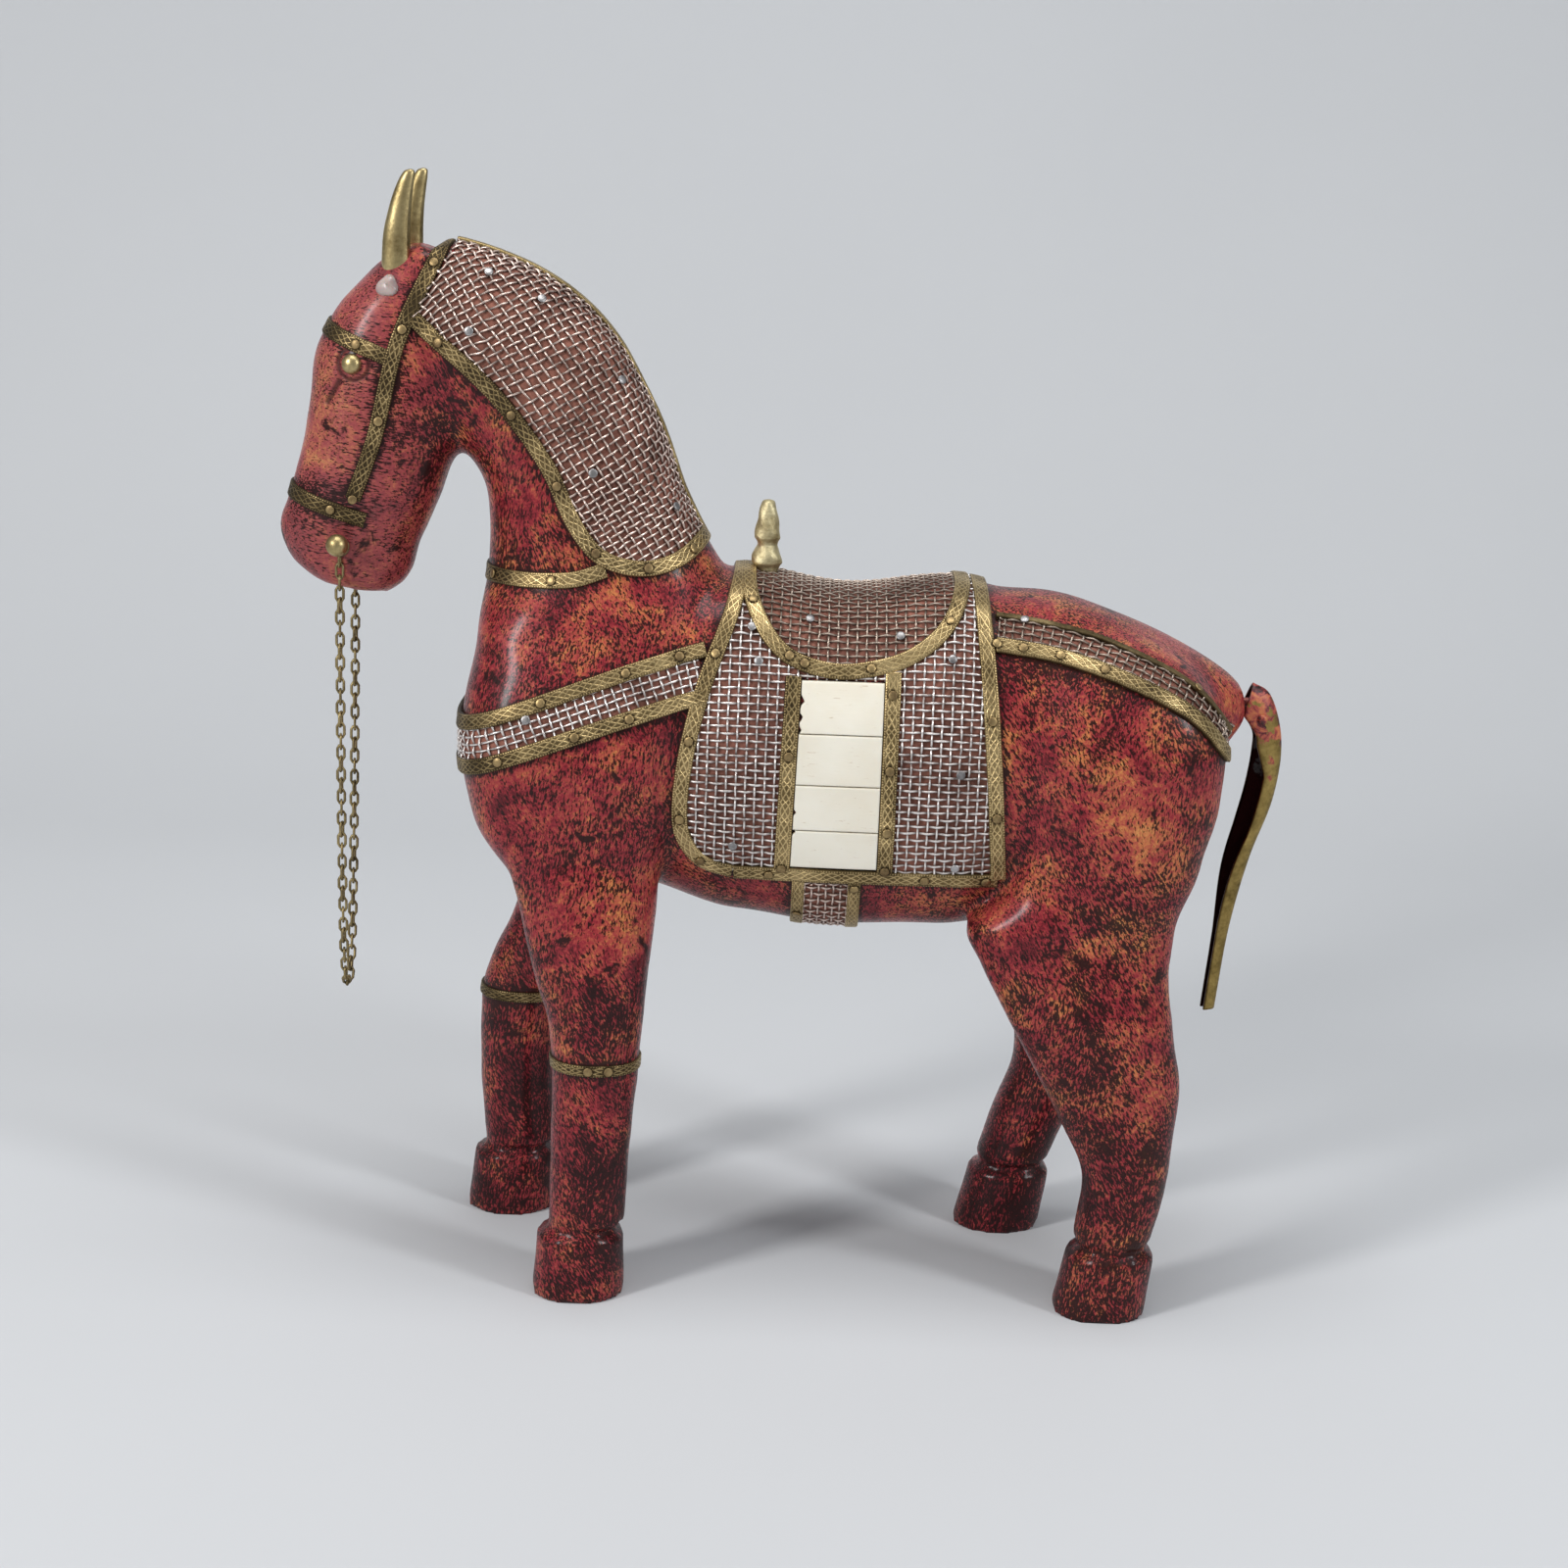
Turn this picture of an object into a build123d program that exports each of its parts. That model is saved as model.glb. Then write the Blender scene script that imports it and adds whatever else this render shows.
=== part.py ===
from build123d import *
import os
from math import asinh, ceil, copysign, cos, cosh, pi, sin, sinh

os.makedirs("parts", exist_ok=True)

# A carved wooden show horse with brass and wire-cloth harness. Millimetres, +Z up, the head towards -X.

# Legs, from the ground up
hoof_height = 20
hoof_length = 27
hoof_width = 25
sole_spread = 1
groove_height = 4
groove_depth = 1.6
shank_length = 24
shank_width = 23
knee_height = 74
leg_length = 128
hind_joint_drop = 16
leg_spacing = 68
stride = 28
fore_hoof_x = -58.5
hind_hoof_x = 106

# Trunk, neck and head
outline_cuts = 12
barrel_width = 78
shoulder_width = 88
haunch_width = 91
neck_width = 54
head_width = 36

# Glued dowels
dowel_diameter = 8
dowel_length = 26
dowel_clearance = 0.05
dowel_cuts = 8
neck_dowel_diameter = 10
neck_dowel_length = 40

# Harness
strip_width = 4.8
strip_thickness = 0.6
thin_strip_width = 2.4
mesh_thickness = 1
chest_strap_width = 18
crupper_width = 9.6
girth_width = 21
girth_strip_width = 4
leg_band_width = 5

# Bone tiles on the saddle flaps
tile_count = 4
tile_width = 25
tile_thickness = 1.8
tile_gap = 0.15

# Brass fittings
ear_height = 28
ear_length = 8.2
ear_thickness = 5.6
ear_spacing = 16
ear_hollow = 0.75
tang_diameter = 3
tang_depth = 9
tang_clearance = 0.05
tang_cuts = 6
turned_cuts = 12
eye_diameter = 6
eye_height = 2.6
bit_ball_diameter = 6.8
bit_shank_diameter = 2
bit_stand_off = 2.4
finial_height = 20
finial_sink = 3
finial_top_diameter = 3.6
finial_waist_diameter = 5.7
finial_shoulder_diameter = 7.8
finial_foot_diameter = 9
tail_width = 8
tail_wall = 1
tail_root = 7
glue_diameter = 6

# Rein chain
wire_thickness = 0.9
link_pitch = 3.65
link_width = 3.1
link_play = 0.2
bend_gap = 0.15
ring_diameter = 6.2
ring_play = 0.1
rein_drop = 141

near, far = -1, 1


def section(plane, half_long, half_wide, fullness=2.0):
    """A closed outline of straight knife cuts: an ellipse at fullness 2, squarer above it."""
    points = []
    for cut in range(outline_cuts):
        angle = 2 * pi * cut / outline_cuts
        along, across = cos(angle), sin(angle)
        x = copysign(abs(along) ** (2 / fullness), along)
        y = copysign(abs(across) ** (2 / fullness), across)
        points.append((x * half_long, y * half_wide))
    with BuildSketch(plane) as outline:
        with BuildLine():
            Polyline(*points, close=True)
        make_face()
    return outline.sketch


def slant_section(low, high, half_wide, coat=0.0, fullness=2.0):
    """A section across two side-view points, heights measured from the elbow joint."""
    dx, dz = high[0] - low[0], high[1] - low[1]
    middle = ((low[0] + high[0]) / 2, 0, leg_length + (low[1] + high[1]) / 2)
    plane = Plane(origin=middle, x_dir=(dx, 0, dz), z_dir=(-dz, 0, dx))
    return section(plane, (dx**2 + dz**2) ** 0.5 / 2 + coat, half_wide + coat, fullness)


# The seam where the neck block is glued to the trunk
seam_front = (-93.5, 95)
seam_rear = (-21, 98)


def barrel_sections(coat=0.0):
    half = barrel_width / 2
    rows = [  # x, underside, ridge, half width
        (-60, 6, 92, half - 5),
        (-38, -2, 94, half - 2),
        (-13, -7, 97.5, half),
        (17, -9, 93, half),
        (50, -8, 96.5, half),
        (63, -7, 94.3, half - 1),
        (80, -1, 94.2, half - 2),
        (105, 13, 86.6, half - 6),
        (125, 33, 77.8, half - 15),
        (137, 49, 71.5, half - 26),
        (143, 56, 67, half - 32),
    ]
    sections = []
    for x, low, high, half_width in rows:
        plane = Plane(origin=(x, 0, leg_length + (low + high) / 2), x_dir=(0, 0, 1), z_dir=(1, 0, 0))
        sections.append(section(plane, (high - low) / 2 + coat, half_width + coat, 2.3))
    return sections


def forehand_sections(coat=0.0):
    half = shoulder_width / 2
    rows = [  # height over the elbow joint, front x, rear x, half width
        (2, -80, -38, half - 6),
        (8, -87, -34, half - 3),
        (22, -96, -30, half - 1),
        (40, -99.5, -28, half),
        (57, -99, -24, half - 2),
        (76, -95.5, -20, half - 9),
    ]
    sections = []
    for z, front, rear, half_width in rows:
        plane = Plane.XY.offset(leg_length + z).shift_origin(((front + rear) / 2, 0, leg_length + z))
        sections.append(section(plane, (rear - front) / 2 + coat, half_width + coat, 3.6))
    sections.append(slant_section(seam_front, seam_rear, neck_width / 2, coat, 2.3))
    return sections


def neck_sections(coat=0.0):
    neck, head = neck_width / 2, head_width / 2
    rows = [  # throat side, crest side, half width
        (seam_front, seam_rear, neck),
        ((-93.2, 101), (-27, 107.5), neck - 0.8),
        ((-93, 109), (-33.5, 119), neck - 2),
        ((-94, 119), (-44, 145), neck - 4),
        ((-97, 126), (-60, 171), neck - 6),
        ((-100, 129), (-83, 187), neck - 7.5),
        ((-104, 134), (-105, 193.5), head + 0.5),
        ((-110, 142), (-112, 187), head - 2),
    ]
    return [slant_section(low, high, half, coat, 2.2) for low, high, half in rows]


def head_sections(coat=0.0):
    head = head_width / 2
    rows = [  # jaw side, face side, half width
        ((-101, 186), (-116, 193), head - 8),
        ((-97, 171), (-129, 185), head - 3.5),
        ((-96, 157), (-141, 171), head - 0.5),
        ((-98, 146), (-146.5, 159), head),
        ((-103, 131), (-148.5, 142), head),
        ((-107.5, 119), (-151.5, 126.5), head - 1),
        ((-112, 108), (-155, 114.5), head - 2.5),
        ((-115.5, 99), (-157.5, 105.5), head - 4),
        ((-120, 92), (-154, 97.5), head - 5.5),
        ((-127, 88.3), (-147, 91.5), head - 9),
    ]
    return [slant_section(jaw, face, half, coat, 2.3) for jaw, face, half in rows]


def leg_sections(rows, side, coat=0.0):
    sections = []
    for z, x, half_long, y, half_wide, share in rows:
        swing = stride * share if side == far else 0
        plane = Plane(origin=(x - swing, side * y, z), x_dir=(1, 0, 0), z_dir=(0, 0, 1))
        sections.append(section(plane, half_long + coat, half_wide + coat, 2.2))
    return sections


def hoof_rows(x, toe):
    """Sole and top of a hoof; the toe is how far the sole reaches ahead of the top."""
    row = leg_spacing / 2
    half_long, half_wide = hoof_length / 2, hoof_width / 2
    return [
        (0, x - toe, half_long + sole_spread, row, half_wide + sole_spread, 1),
        (hoof_height, x, half_long, row, half_wide, 0.97),
    ]


def groove_rows(x):
    row = leg_spacing / 2
    half_long, half_wide = shank_length / 2 - groove_depth, shank_width / 2 - groove_depth
    return [
        (hoof_height, x, half_long, row, half_wide, 0.97),
        (hoof_height + groove_height, x, half_long, row, half_wide, 0.95),
    ]


def fore_rows():
    """Below the elbow joint and above it, the joint's own row in both."""
    row = leg_spacing / 2
    half_long, half_wide = shank_length / 2, shank_width / 2
    shoulder = shoulder_width / 2
    top = hoof_height + groove_height
    joint = (leg_length, fore_hoof_x - 0.5, half_long + 9.8, shoulder - 13.5, half_wide + 2, 0.05)
    below = [  # height, x, half length, y, half width, share of the stride
        (top, fore_hoof_x + 1.8, half_long, row, half_wide, 0.97),
        ((top + knee_height) / 2, fore_hoof_x + 2.5, half_long + 0.4, row, half_wide + 0.3, 1.05),
        (knee_height, fore_hoof_x + 3.5, half_long + 1.4, row, half_wide + 1, 1.05),
        (knee_height + 13, fore_hoof_x + 3.3, half_long + 2.4, row, half_wide + 1.6, 0.9),
        (knee_height + 28, fore_hoof_x + 1.7, half_long + 5.2, row - 0.5, half_wide + 2, 0.5),
        joint,
    ]
    above = [
        joint,
        (leg_length + 10, fore_hoof_x - 2, half_long + 11, shoulder - 15, half_wide + 2.2, 0),
        (leg_length + 28, fore_hoof_x - 2, half_long + 12, shoulder - 18, half_wide + 2, 0),
    ]
    return below, above


def hind_rows():
    """Below the stifle joint and above it, the joint's own row in both."""
    row = leg_spacing / 2
    half_long, half_wide = shank_length / 2, shank_width / 2
    haunch = haunch_width / 2
    top = hoof_height + groove_height
    stifle = leg_length - hind_joint_drop
    joint = (stifle, hind_hoof_x - 15, half_long + 17, haunch - 13, half_wide + 1.8, 0)
    below = [
        (top, hind_hoof_x + 2, half_long, row, half_wide, 0.95),
        (top + 20, hind_hoof_x + 4.8, half_long + 1.2, row, half_wide + 0.5, 0.8),
        (top + 35, hind_hoof_x + 2, half_long + 4.8, row, half_wide + 1, 0.4),
        (knee_height, hind_hoof_x - 1.5, half_long + 9.3, row, half_wide + 2, 0.15),
        (leg_length - 38, hind_hoof_x - 7.5, half_long + 12.5, row, half_wide + 2.5, 0),
        joint,
    ]
    above = [
        joint,
        (leg_length - 6, hind_hoof_x - 17, half_long + 20, haunch - 15, half_wide + 3, 0),
        (leg_length + 6, hind_hoof_x - 10, half_long + 16.5, haunch - 16.5, half_wide + 4.5, 0),
        (leg_length + 16, hind_hoof_x - 6.5, half_long + 16.5, haunch - 17.5, half_wide + 5.7, 0),
        (leg_length + 34, hind_hoof_x - 5, half_long + 19.5, haunch - 19, half_wide + 7.3, 0),
        (leg_length + 53, hind_hoof_x - 4.5, half_long + 20, haunch - 20, half_wide + 7.5, 0),
        (leg_length + 72, hind_hoof_x - 7.5, half_long + 16, haunch - 23, half_wide + 5, 0),
        (leg_length + 84, hind_hoof_x - 16, half_long + 6, haunch - 30, half_wide, 0),
    ]
    return below, above


fore_below, fore_above = fore_rows()
hind_below, hind_above = hind_rows()

# Side view of the horse, with heights measured from the elbow joint; cutters span past both flanks
side_view = Plane(origin=(0, 0, leg_length), x_dir=(1, 0, 0), z_dir=(0, -1, 0))
reach = haunch_width

# Where the fittings stand, as x and height over the elbow joint
ear_spot = (-121, 186)
eye_spot = (-133, 157)
bit_spot = (-137, 103)
glue_spot = (-123, 180)
finial_spot = (-8, 99.1)
tail_spot = (143, 61.5)


def leg_dowel_planes(side):
    """The middle of each glued leg joint on one side."""
    return [
        Plane(origin=(x, side * y, height), x_dir=(1, 0, 0), z_dir=(0, 0, 1))
        for height, x, _, y, _, _ in (fore_above[0], hind_above[0])
    ]


def save(piece, name):
    piece.part.label = name
    export_step(piece.part, f"parts/{name}.step")


def peg(plane, diameter, low, high, cuts, mode=Mode.ADD):
    """A whittled peg or its hole: flat-sided, running along the plane's normal between two heights."""
    with BuildSketch(plane.offset(low)) as outline:
        RegularPolygon(diameter / 2, cuts)
    extrude(outline.sketch, amount=high - low, mode=mode)


def turned(plane, profile, cuts):
    """A small turned piece, as rings of radius and height along the plane's normal."""
    rings = []
    for radius, height in profile:
        with BuildSketch(plane.offset(height)) as ring:
            RegularPolygon(radius, cuts)
        rings.append(ring.sketch)
    loft(sections=rings, ruled=True)


def surface_spot(body, spot, side):
    """The point and outward direction where a line across the horse meets the body's flank."""
    x, height = spot
    line = Axis((x, side * reach, leg_length + height), (0, -side, 0))
    hits = [hit for face in body.faces() for hit in face.find_intersection_points(line)]
    point, normal = max(hits, key=lambda hit: side * hit[0].Y)
    return point, normal if normal.Y * side > 0 else -normal


seam_tilt = (seam_rear[1] - seam_front[1]) / (seam_rear[0] - seam_front[0])
neck_dowel_planes = [
    Plane(
        origin=(x, 0, leg_length + seam_front[1] + (x - seam_front[0]) * seam_tilt),
        x_dir=(1, 0, seam_tilt),
        z_dir=(-seam_tilt, 0, 1),
    )
    for x in (-74, -44)
]

finial_foot = (finial_spot[0], 0, leg_length + finial_spot[1])
finial_plane = Plane(origin=finial_foot, x_dir=(1, 0, 0), z_dir=(0, 0, 1))
tail_seat = (tail_spot[0], 0, leg_length + tail_spot[1])
tail_plane = Plane(origin=tail_seat, x_dir=(0, 1, 0), z_dir=(1, 0, 0))


def dowel_hole(plane, diameter, length):
    peg(plane, diameter + 2 * dowel_clearance, -length / 2, length / 2, dowel_cuts, Mode.SUBTRACT)


def tang_hole(plane):
    peg(plane, tang_diameter + 2 * tang_clearance, -tang_depth, tang_depth, tang_cuts, Mode.SUBTRACT)


# The trunk: barrel, shoulders and haunches in one block, flat where the neck and the legs are glued on
with BuildPart() as trunk:
    loft(sections=barrel_sections(), ruled=True)
    loft(sections=forehand_sections(), ruled=True)
    for side in (near, far):
        loft(sections=leg_sections(fore_above, side), ruled=True)
        loft(sections=leg_sections(hind_above, side), ruled=True)
        for plane in leg_dowel_planes(side):
            dowel_hole(plane, dowel_diameter, dowel_length)
    for plane in neck_dowel_planes:
        dowel_hole(plane, neck_dowel_diameter, neck_dowel_length)
    tang_hole(finial_plane)
    tang_hole(tail_plane)
save(trunk, "trunk")

with BuildPart() as carved_head:
    loft(sections=neck_sections(), ruled=True)
    loft(sections=head_sections(), ruled=True)

eye_places = {side: surface_spot(carved_head.part, eye_spot, side) for side in (near, far)}
bit_places = {side: surface_spot(carved_head.part, bit_spot, side) for side in (near, far)}


def bit_plane(side):
    """On the cheek at the bit, facing straight out from the horse."""
    return Plane(origin=bit_places[side][0], x_dir=(1, 0, 0), z_dir=(0, side, 0))


def eye_plane(side):
    return Plane(origin=eye_places[side][0], z_dir=eye_places[side][1])


def ear_plane(side):
    return Plane.XY.offset(leg_length + ear_spot[1]).shift_origin(
        (ear_spot[0], side * ear_spacing / 2, leg_length + ear_spot[1])
    )


with BuildPart() as neck_and_head:
    add(carved_head.part)
    for plane in neck_dowel_planes:
        dowel_hole(plane, neck_dowel_diameter, neck_dowel_length)
    for side in (near, far):
        tang_hole(ear_plane(side))
        tang_hole(eye_plane(side))
        tang_hole(bit_plane(side))
save(neck_and_head, "neck_and_head")

for side, side_name in ((near, "left"), (far, "right")):
    for rows, hoof_x, toe, leg_name in (
        (fore_below, fore_hoof_x, 0.5, "fore_leg"),
        (hind_below, hind_hoof_x + 2, 3, "hind_leg"),
    ):
        with BuildPart() as leg:
            loft(sections=leg_sections(rows, side), ruled=True)
            loft(sections=leg_sections(groove_rows(hoof_x), side), ruled=True)
            loft(sections=leg_sections(hoof_rows(hoof_x, toe), side), ruled=True)
            for plane in leg_dowel_planes(side):
                dowel_hole(plane, dowel_diameter, dowel_length)
        save(leg, f"{leg_name}_{side_name}")

# Hidden dowels across the glued joints
with BuildPart() as leg_dowels:
    for plane in leg_dowel_planes(near) + leg_dowel_planes(far):
        peg(plane, dowel_diameter, -dowel_length / 2, dowel_length / 2, dowel_cuts)
save(leg_dowels, "leg_dowels")

with BuildPart() as neck_dowels:
    for plane in neck_dowel_planes:
        peg(plane, neck_dowel_diameter, -neck_dowel_length / 2, neck_dowel_length / 2, dowel_cuts)
save(neck_dowels, "neck_dowels")

# Coats: the carved surfaces grown by the thickness of what lies on them
lined = mesh_thickness
bound = mesh_thickness + strip_thickness


def grown(sections):
    with BuildPart() as coat:
        loft(sections=sections, ruled=True)
    return coat.part


def flank_sections(coat=0.0):
    """The stretch of the barrel that carries the saddle."""
    return barrel_sections(coat)[1:7]


def chest_sections(coat=0.0):
    """The stretch of the forehand that carries the chest strap."""
    return forehand_sections(coat)[2:]


neck_core = grown(neck_sections())
head_core = grown(head_sections())
poll_core = grown(head_sections()[:4])
chest_core = grown(chest_sections())
flank_core = grown(flank_sections())


def band_outline(points, width):
    """A band of one width along a smooth side-view line."""
    with BuildSketch(side_view) as outline:
        with BuildLine():
            Spline(*points)
        trace(line_width=width)
    return outline.sketch


def panel_outline(points, closing):
    """A panel inside a smooth side-view line, closed by straight runs through further points."""
    with BuildSketch(side_view) as outline:
        with BuildLine():
            Spline(*points)
            Polyline(points[-1], *closing, points[0])
        make_face()
    return outline.sketch


def block_outline(low, high):
    with BuildSketch(side_view) as outline:
        with Locations(((low[0] + high[0]) / 2, (low[1] + high[1]) / 2)):
            Rectangle(high[0] - low[0], high[1] - low[1])
    return outline.sketch


def raised(points, rise):
    return [(x, z + rise) for x, z in points]


def draped(outline, coats, cores, span=reach):
    """What a side-view outline takes from the coats, down to the surfaces of the cores."""
    with BuildPart() as sheet:
        for coat in coats:
            with BuildPart(mode=Mode.PRIVATE) as patch:
                extrude(outline, amount=span, both=True)
                add(coat, mode=Mode.INTERSECT)
            add(patch.part)
        for core in cores:
            add(core, mode=Mode.SUBTRACT)
    return sheet.part


# Bridle: brass strip on bare wood
cheek_line = [(-102, 203), (-107.5, 191), (-119, 165), (-126.5, 134), (-133, 116)]
brow_line = [(-152, 172), (-141, 166.5), (-121.5, 159)]
nose_line = [(-162, 121.5), (-150, 116.5), (-128.5, 110)]
collar_line = [(-104, 94), (-93.5, 95), (-76, 96), (-58, 96.8)]
head_bare = grown(head_sections(strip_thickness))
neck_bare = grown(neck_sections(strip_thickness))

cheek_band = band_outline(cheek_line, strip_width)

with BuildPart() as cheek_strap:
    add(draped(cheek_band, [head_bare, neck_bare], [head_core, neck_core]))
save(cheek_strap, "cheek_strap")

with BuildPart() as brow_band:
    add(draped(band_outline(brow_line, strip_width) - cheek_band, [head_bare], [head_core, neck_core]))
save(brow_band, "brow_band")

with BuildPart() as nose_band:
    add(draped(band_outline(nose_line, strip_width) - cheek_band, [head_bare], [head_core]))
save(nose_band, "nose_band")

with BuildPart() as neck_collar:
    collar = band_outline(collar_line, strip_width)
    chest_bare = grown(chest_sections(strip_thickness))
    add(draped(collar, [neck_bare, chest_bare], [neck_core, chest_core]))
save(neck_collar, "neck_collar")

# Mane: wire cloth over the crest, edged with strip
neck_lined = grown(neck_sections(lined))
neck_bound = grown(neck_sections(bound))
mane_line = [
    (-115.5, 171.5), (-91, 151), (-74, 130), (-64, 111),
    (-57, 103.5), (-44, 100.3), (-33, 103.5), (-22, 115),
]
mane_closing = [(-10, 130), (-40, 205), (-99, 205), (-104.5, 191)]
mane_panel = panel_outline(mane_line, mane_closing)
mane_band = band_outline(mane_line, strip_width)

with BuildPart() as mane_mesh:
    add(draped(mane_panel + mane_band - cheek_band, [neck_lined], [neck_core, poll_core]))
save(mane_mesh, "mane_mesh")

with BuildPart() as mane_edge:
    add(draped(mane_band - cheek_band, [neck_bound], [neck_lined]))
save(mane_edge, "mane_edge")

with BuildPart() as crest_strip:
    add(draped(mane_panel - mane_band - cheek_band, [neck_bound], [neck_lined], strip_width / 2))
save(crest_strip, "crest_strip")

# Saddle: a wire-cloth blanket over the back, cut out for the seat and for the column of tiles
front_line = [(-13, 108), (-17, 90), (-25, 67), (-30.5, 39), (-30, 22), (-24, 13.5), (-14, 10.5)]
rear_line = [(66, 10.5), (63, 43), (60, 71), (57.5, 92), (56, 108)]
seat_line = [
    (-14.5, 108), (-12, 92), (-2, 78), (13, 73), (25, 74),
    (37, 78), (47, 86), (52, 96), (53.5, 108),
]
tile_left = 4
tile_right = tile_left + tile_width
tile_low = front_line[-1][1] + strip_width / 2
tile_high = seat_line[3][1] - strip_width / 2
flank_lined = grown(flank_sections(lined))
flank_bound = grown(flank_sections(bound))

seat_panel = panel_outline(seat_line, [])
tile_panel = block_outline((tile_left, tile_low), (tile_right, tile_high))
bottom_low = (front_line[-1][0], front_line[-1][1] - strip_width / 2)
bottom_high = (rear_line[0][0] + strip_width / 2, front_line[-1][1] + strip_width / 2)
bottom_band = block_outline(bottom_low, bottom_high)
front_band = band_outline(front_line, strip_width)
rear_band = band_outline(rear_line, strip_width)
seat_band = band_outline(seat_line, strip_width)
blanket = panel_outline(front_line, rear_line) + front_band + rear_band + bottom_band
blanket = blanket - seat_panel - tile_panel

# Chest strap: wire cloth round the chest between two strips, from one side of the saddle to the other
chest_line = [(-106, 43.5), (-99, 45), (-75, 54), (-59, 60), (-45, 65), (-24, 71.5)]
chest_rise = (chest_strap_width - strip_width) / 2


def chest_parts(coat=0.0):
    """The chest and the front of the barrel."""
    return [grown(chest_sections(coat)), grown(barrel_sections(coat)[:4])]


chest_cores = chest_parts()
chest_lined = chest_parts(lined)
chest_bound = chest_parts(bound)
for rise, width, coats, cores, strap_name in (
    (0, chest_strap_width, chest_lined, chest_cores, "chest_strap_mesh"),
    (chest_rise, strip_width, chest_bound, chest_lined, "chest_strap_upper_strip"),
    (-chest_rise, strip_width, chest_bound, chest_lined, "chest_strap_lower_strip"),
):
    with BuildPart() as chest_strap:
        add(draped(band_outline(raised(chest_line, rise), width) - blanket, coats, cores))
    save(chest_strap, strap_name)

with BuildPart() as saddle_blanket_mesh:
    add(draped(blanket, [flank_lined], [flank_core]))
save(saddle_blanket_mesh, "saddle_blanket_mesh")

with BuildPart() as saddle_seat_mesh:
    add(draped(seat_panel, [flank_lined], [flank_core]))
    tang_hole(finial_plane)
save(saddle_seat_mesh, "saddle_seat_mesh")

with BuildPart() as seat_edge:
    add(draped(seat_band, [flank_bound], [flank_lined]))
save(seat_edge, "seat_edge")

with BuildPart() as saddle_front_strip:
    add(draped(front_band - seat_band, [flank_bound], [flank_lined]))
save(saddle_front_strip, "saddle_front_strip")

with BuildPart() as saddle_rear_strip:
    add(draped(rear_band - seat_band, [flank_bound], [flank_lined]))
save(saddle_rear_strip, "saddle_rear_strip")

with BuildPart() as saddle_bottom_strips:
    add(draped(bottom_band - front_band - rear_band, [flank_bound], [flank_lined]))
save(saddle_bottom_strips, "saddle_bottom_strips")

with BuildPart() as tile_side_strips:
    rails = block_outline((tile_left - strip_width, tile_low), (tile_left, tile_high))
    rails += block_outline((tile_right, tile_low), (tile_right + strip_width, tile_high + strip_width))
    add(draped(rails - seat_band, [flank_bound], [flank_lined]))
save(tile_side_strips, "tile_side_strips")

flank_tiled = grown(flank_sections(tile_thickness))
tile_pitch = (tile_high - tile_low) / tile_count
for side, side_name in ((near, "left"), (far, "right")):
    with BuildPart() as bone_tiles:
        for course in range(tile_count):
            low = tile_low + course * tile_pitch + tile_gap
            high = low + tile_pitch - tile_gap
            tile = block_outline((tile_left + tile_gap, low), (tile_right - tile_gap, high))
            add(draped(tile - seat_band, [flank_tiled], [flank_core]))
        split(bisect_by=Plane.XZ, keep=Keep.TOP if side == near else Keep.BOTTOM)
    save(bone_tiles, f"bone_tiles_{side_name}")

# Girth: a band of wire cloth round the belly between two strips
girth_left = 3.5
girth_right = girth_left + girth_width
girth_top = bottom_low[1]
girth_floor = -30

with BuildPart() as girth_mesh:
    girth_band = block_outline((girth_left, girth_floor), (girth_right, girth_top))
    add(draped(girth_band, [flank_lined], [flank_core]))
save(girth_mesh, "girth_mesh")

for left, strip_name in (
    (girth_left, "girth_front_strip"),
    (girth_right - girth_strip_width, "girth_rear_strip"),
):
    with BuildPart() as girth_strip:
        outline = block_outline((left, girth_floor), (left + girth_strip_width, girth_top))
        add(draped(outline, [flank_bound], [flank_lined]))
    save(girth_strip, strip_name)

# Crupper: a strap along each haunch, a wide strip below its wire cloth and a thin one above
crupper_line = [(63, 84), (80, 82), (101, 76.5), (122, 66), (136, 50)]
crupper_reach = 12
wide_rise = (strip_width - crupper_width) / 2
thin_rise = (crupper_width - thin_strip_width) / 2


def rump_parts(coat=0.0):
    """The rear of the barrel and the tops of both haunches."""
    haunches = [grown(leg_sections(hind_above[4:], side, coat)) for side in (near, far)]
    return [grown(barrel_sections(coat)[5:]), *haunches]


rump_cores = rump_parts()
rump_lined = rump_parts(lined)
rump_bound = rump_parts(bound)
crupper_band = band_outline(crupper_line, crupper_width) - rear_band
wide_band = band_outline(raised(crupper_line, wide_rise), strip_width) - rear_band
thin_band = band_outline(raised(crupper_line, thin_rise), thin_strip_width) - rear_band - wide_band
for outline, coats, cores, strap_name in (
    (crupper_band + wide_band + thin_band, rump_lined, rump_cores, "crupper_mesh"),
    (wide_band, rump_bound, rump_lined, "crupper_lower_strips"),
    (thin_band, rump_bound, rump_lined, "crupper_upper_strips"),
):
    with BuildPart() as crupper:
        add(draped(outline, coats, cores))
        with Locations((0, 0, leg_length)):
            Box(reach * 4, crupper_reach * 2, reach * 4, mode=Mode.SUBTRACT)
    save(crupper, strap_name)

# Brass bands round the fore legs, just above the knee
for side, side_name in ((near, "left"), (far, "right")):
    with BuildPart() as leg_band:
        loft(sections=leg_sections(fore_below[1:5], side, strip_thickness), ruled=True)
        loft(sections=leg_sections(fore_below[1:5], side), ruled=True, mode=Mode.SUBTRACT)
        split(bisect_by=Plane.XY.offset(knee_height), keep=Keep.TOP)
        split(bisect_by=Plane.XY.offset(knee_height + leg_band_width), keep=Keep.BOTTOM)
    save(leg_band, f"leg_band_{side_name}")

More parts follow.
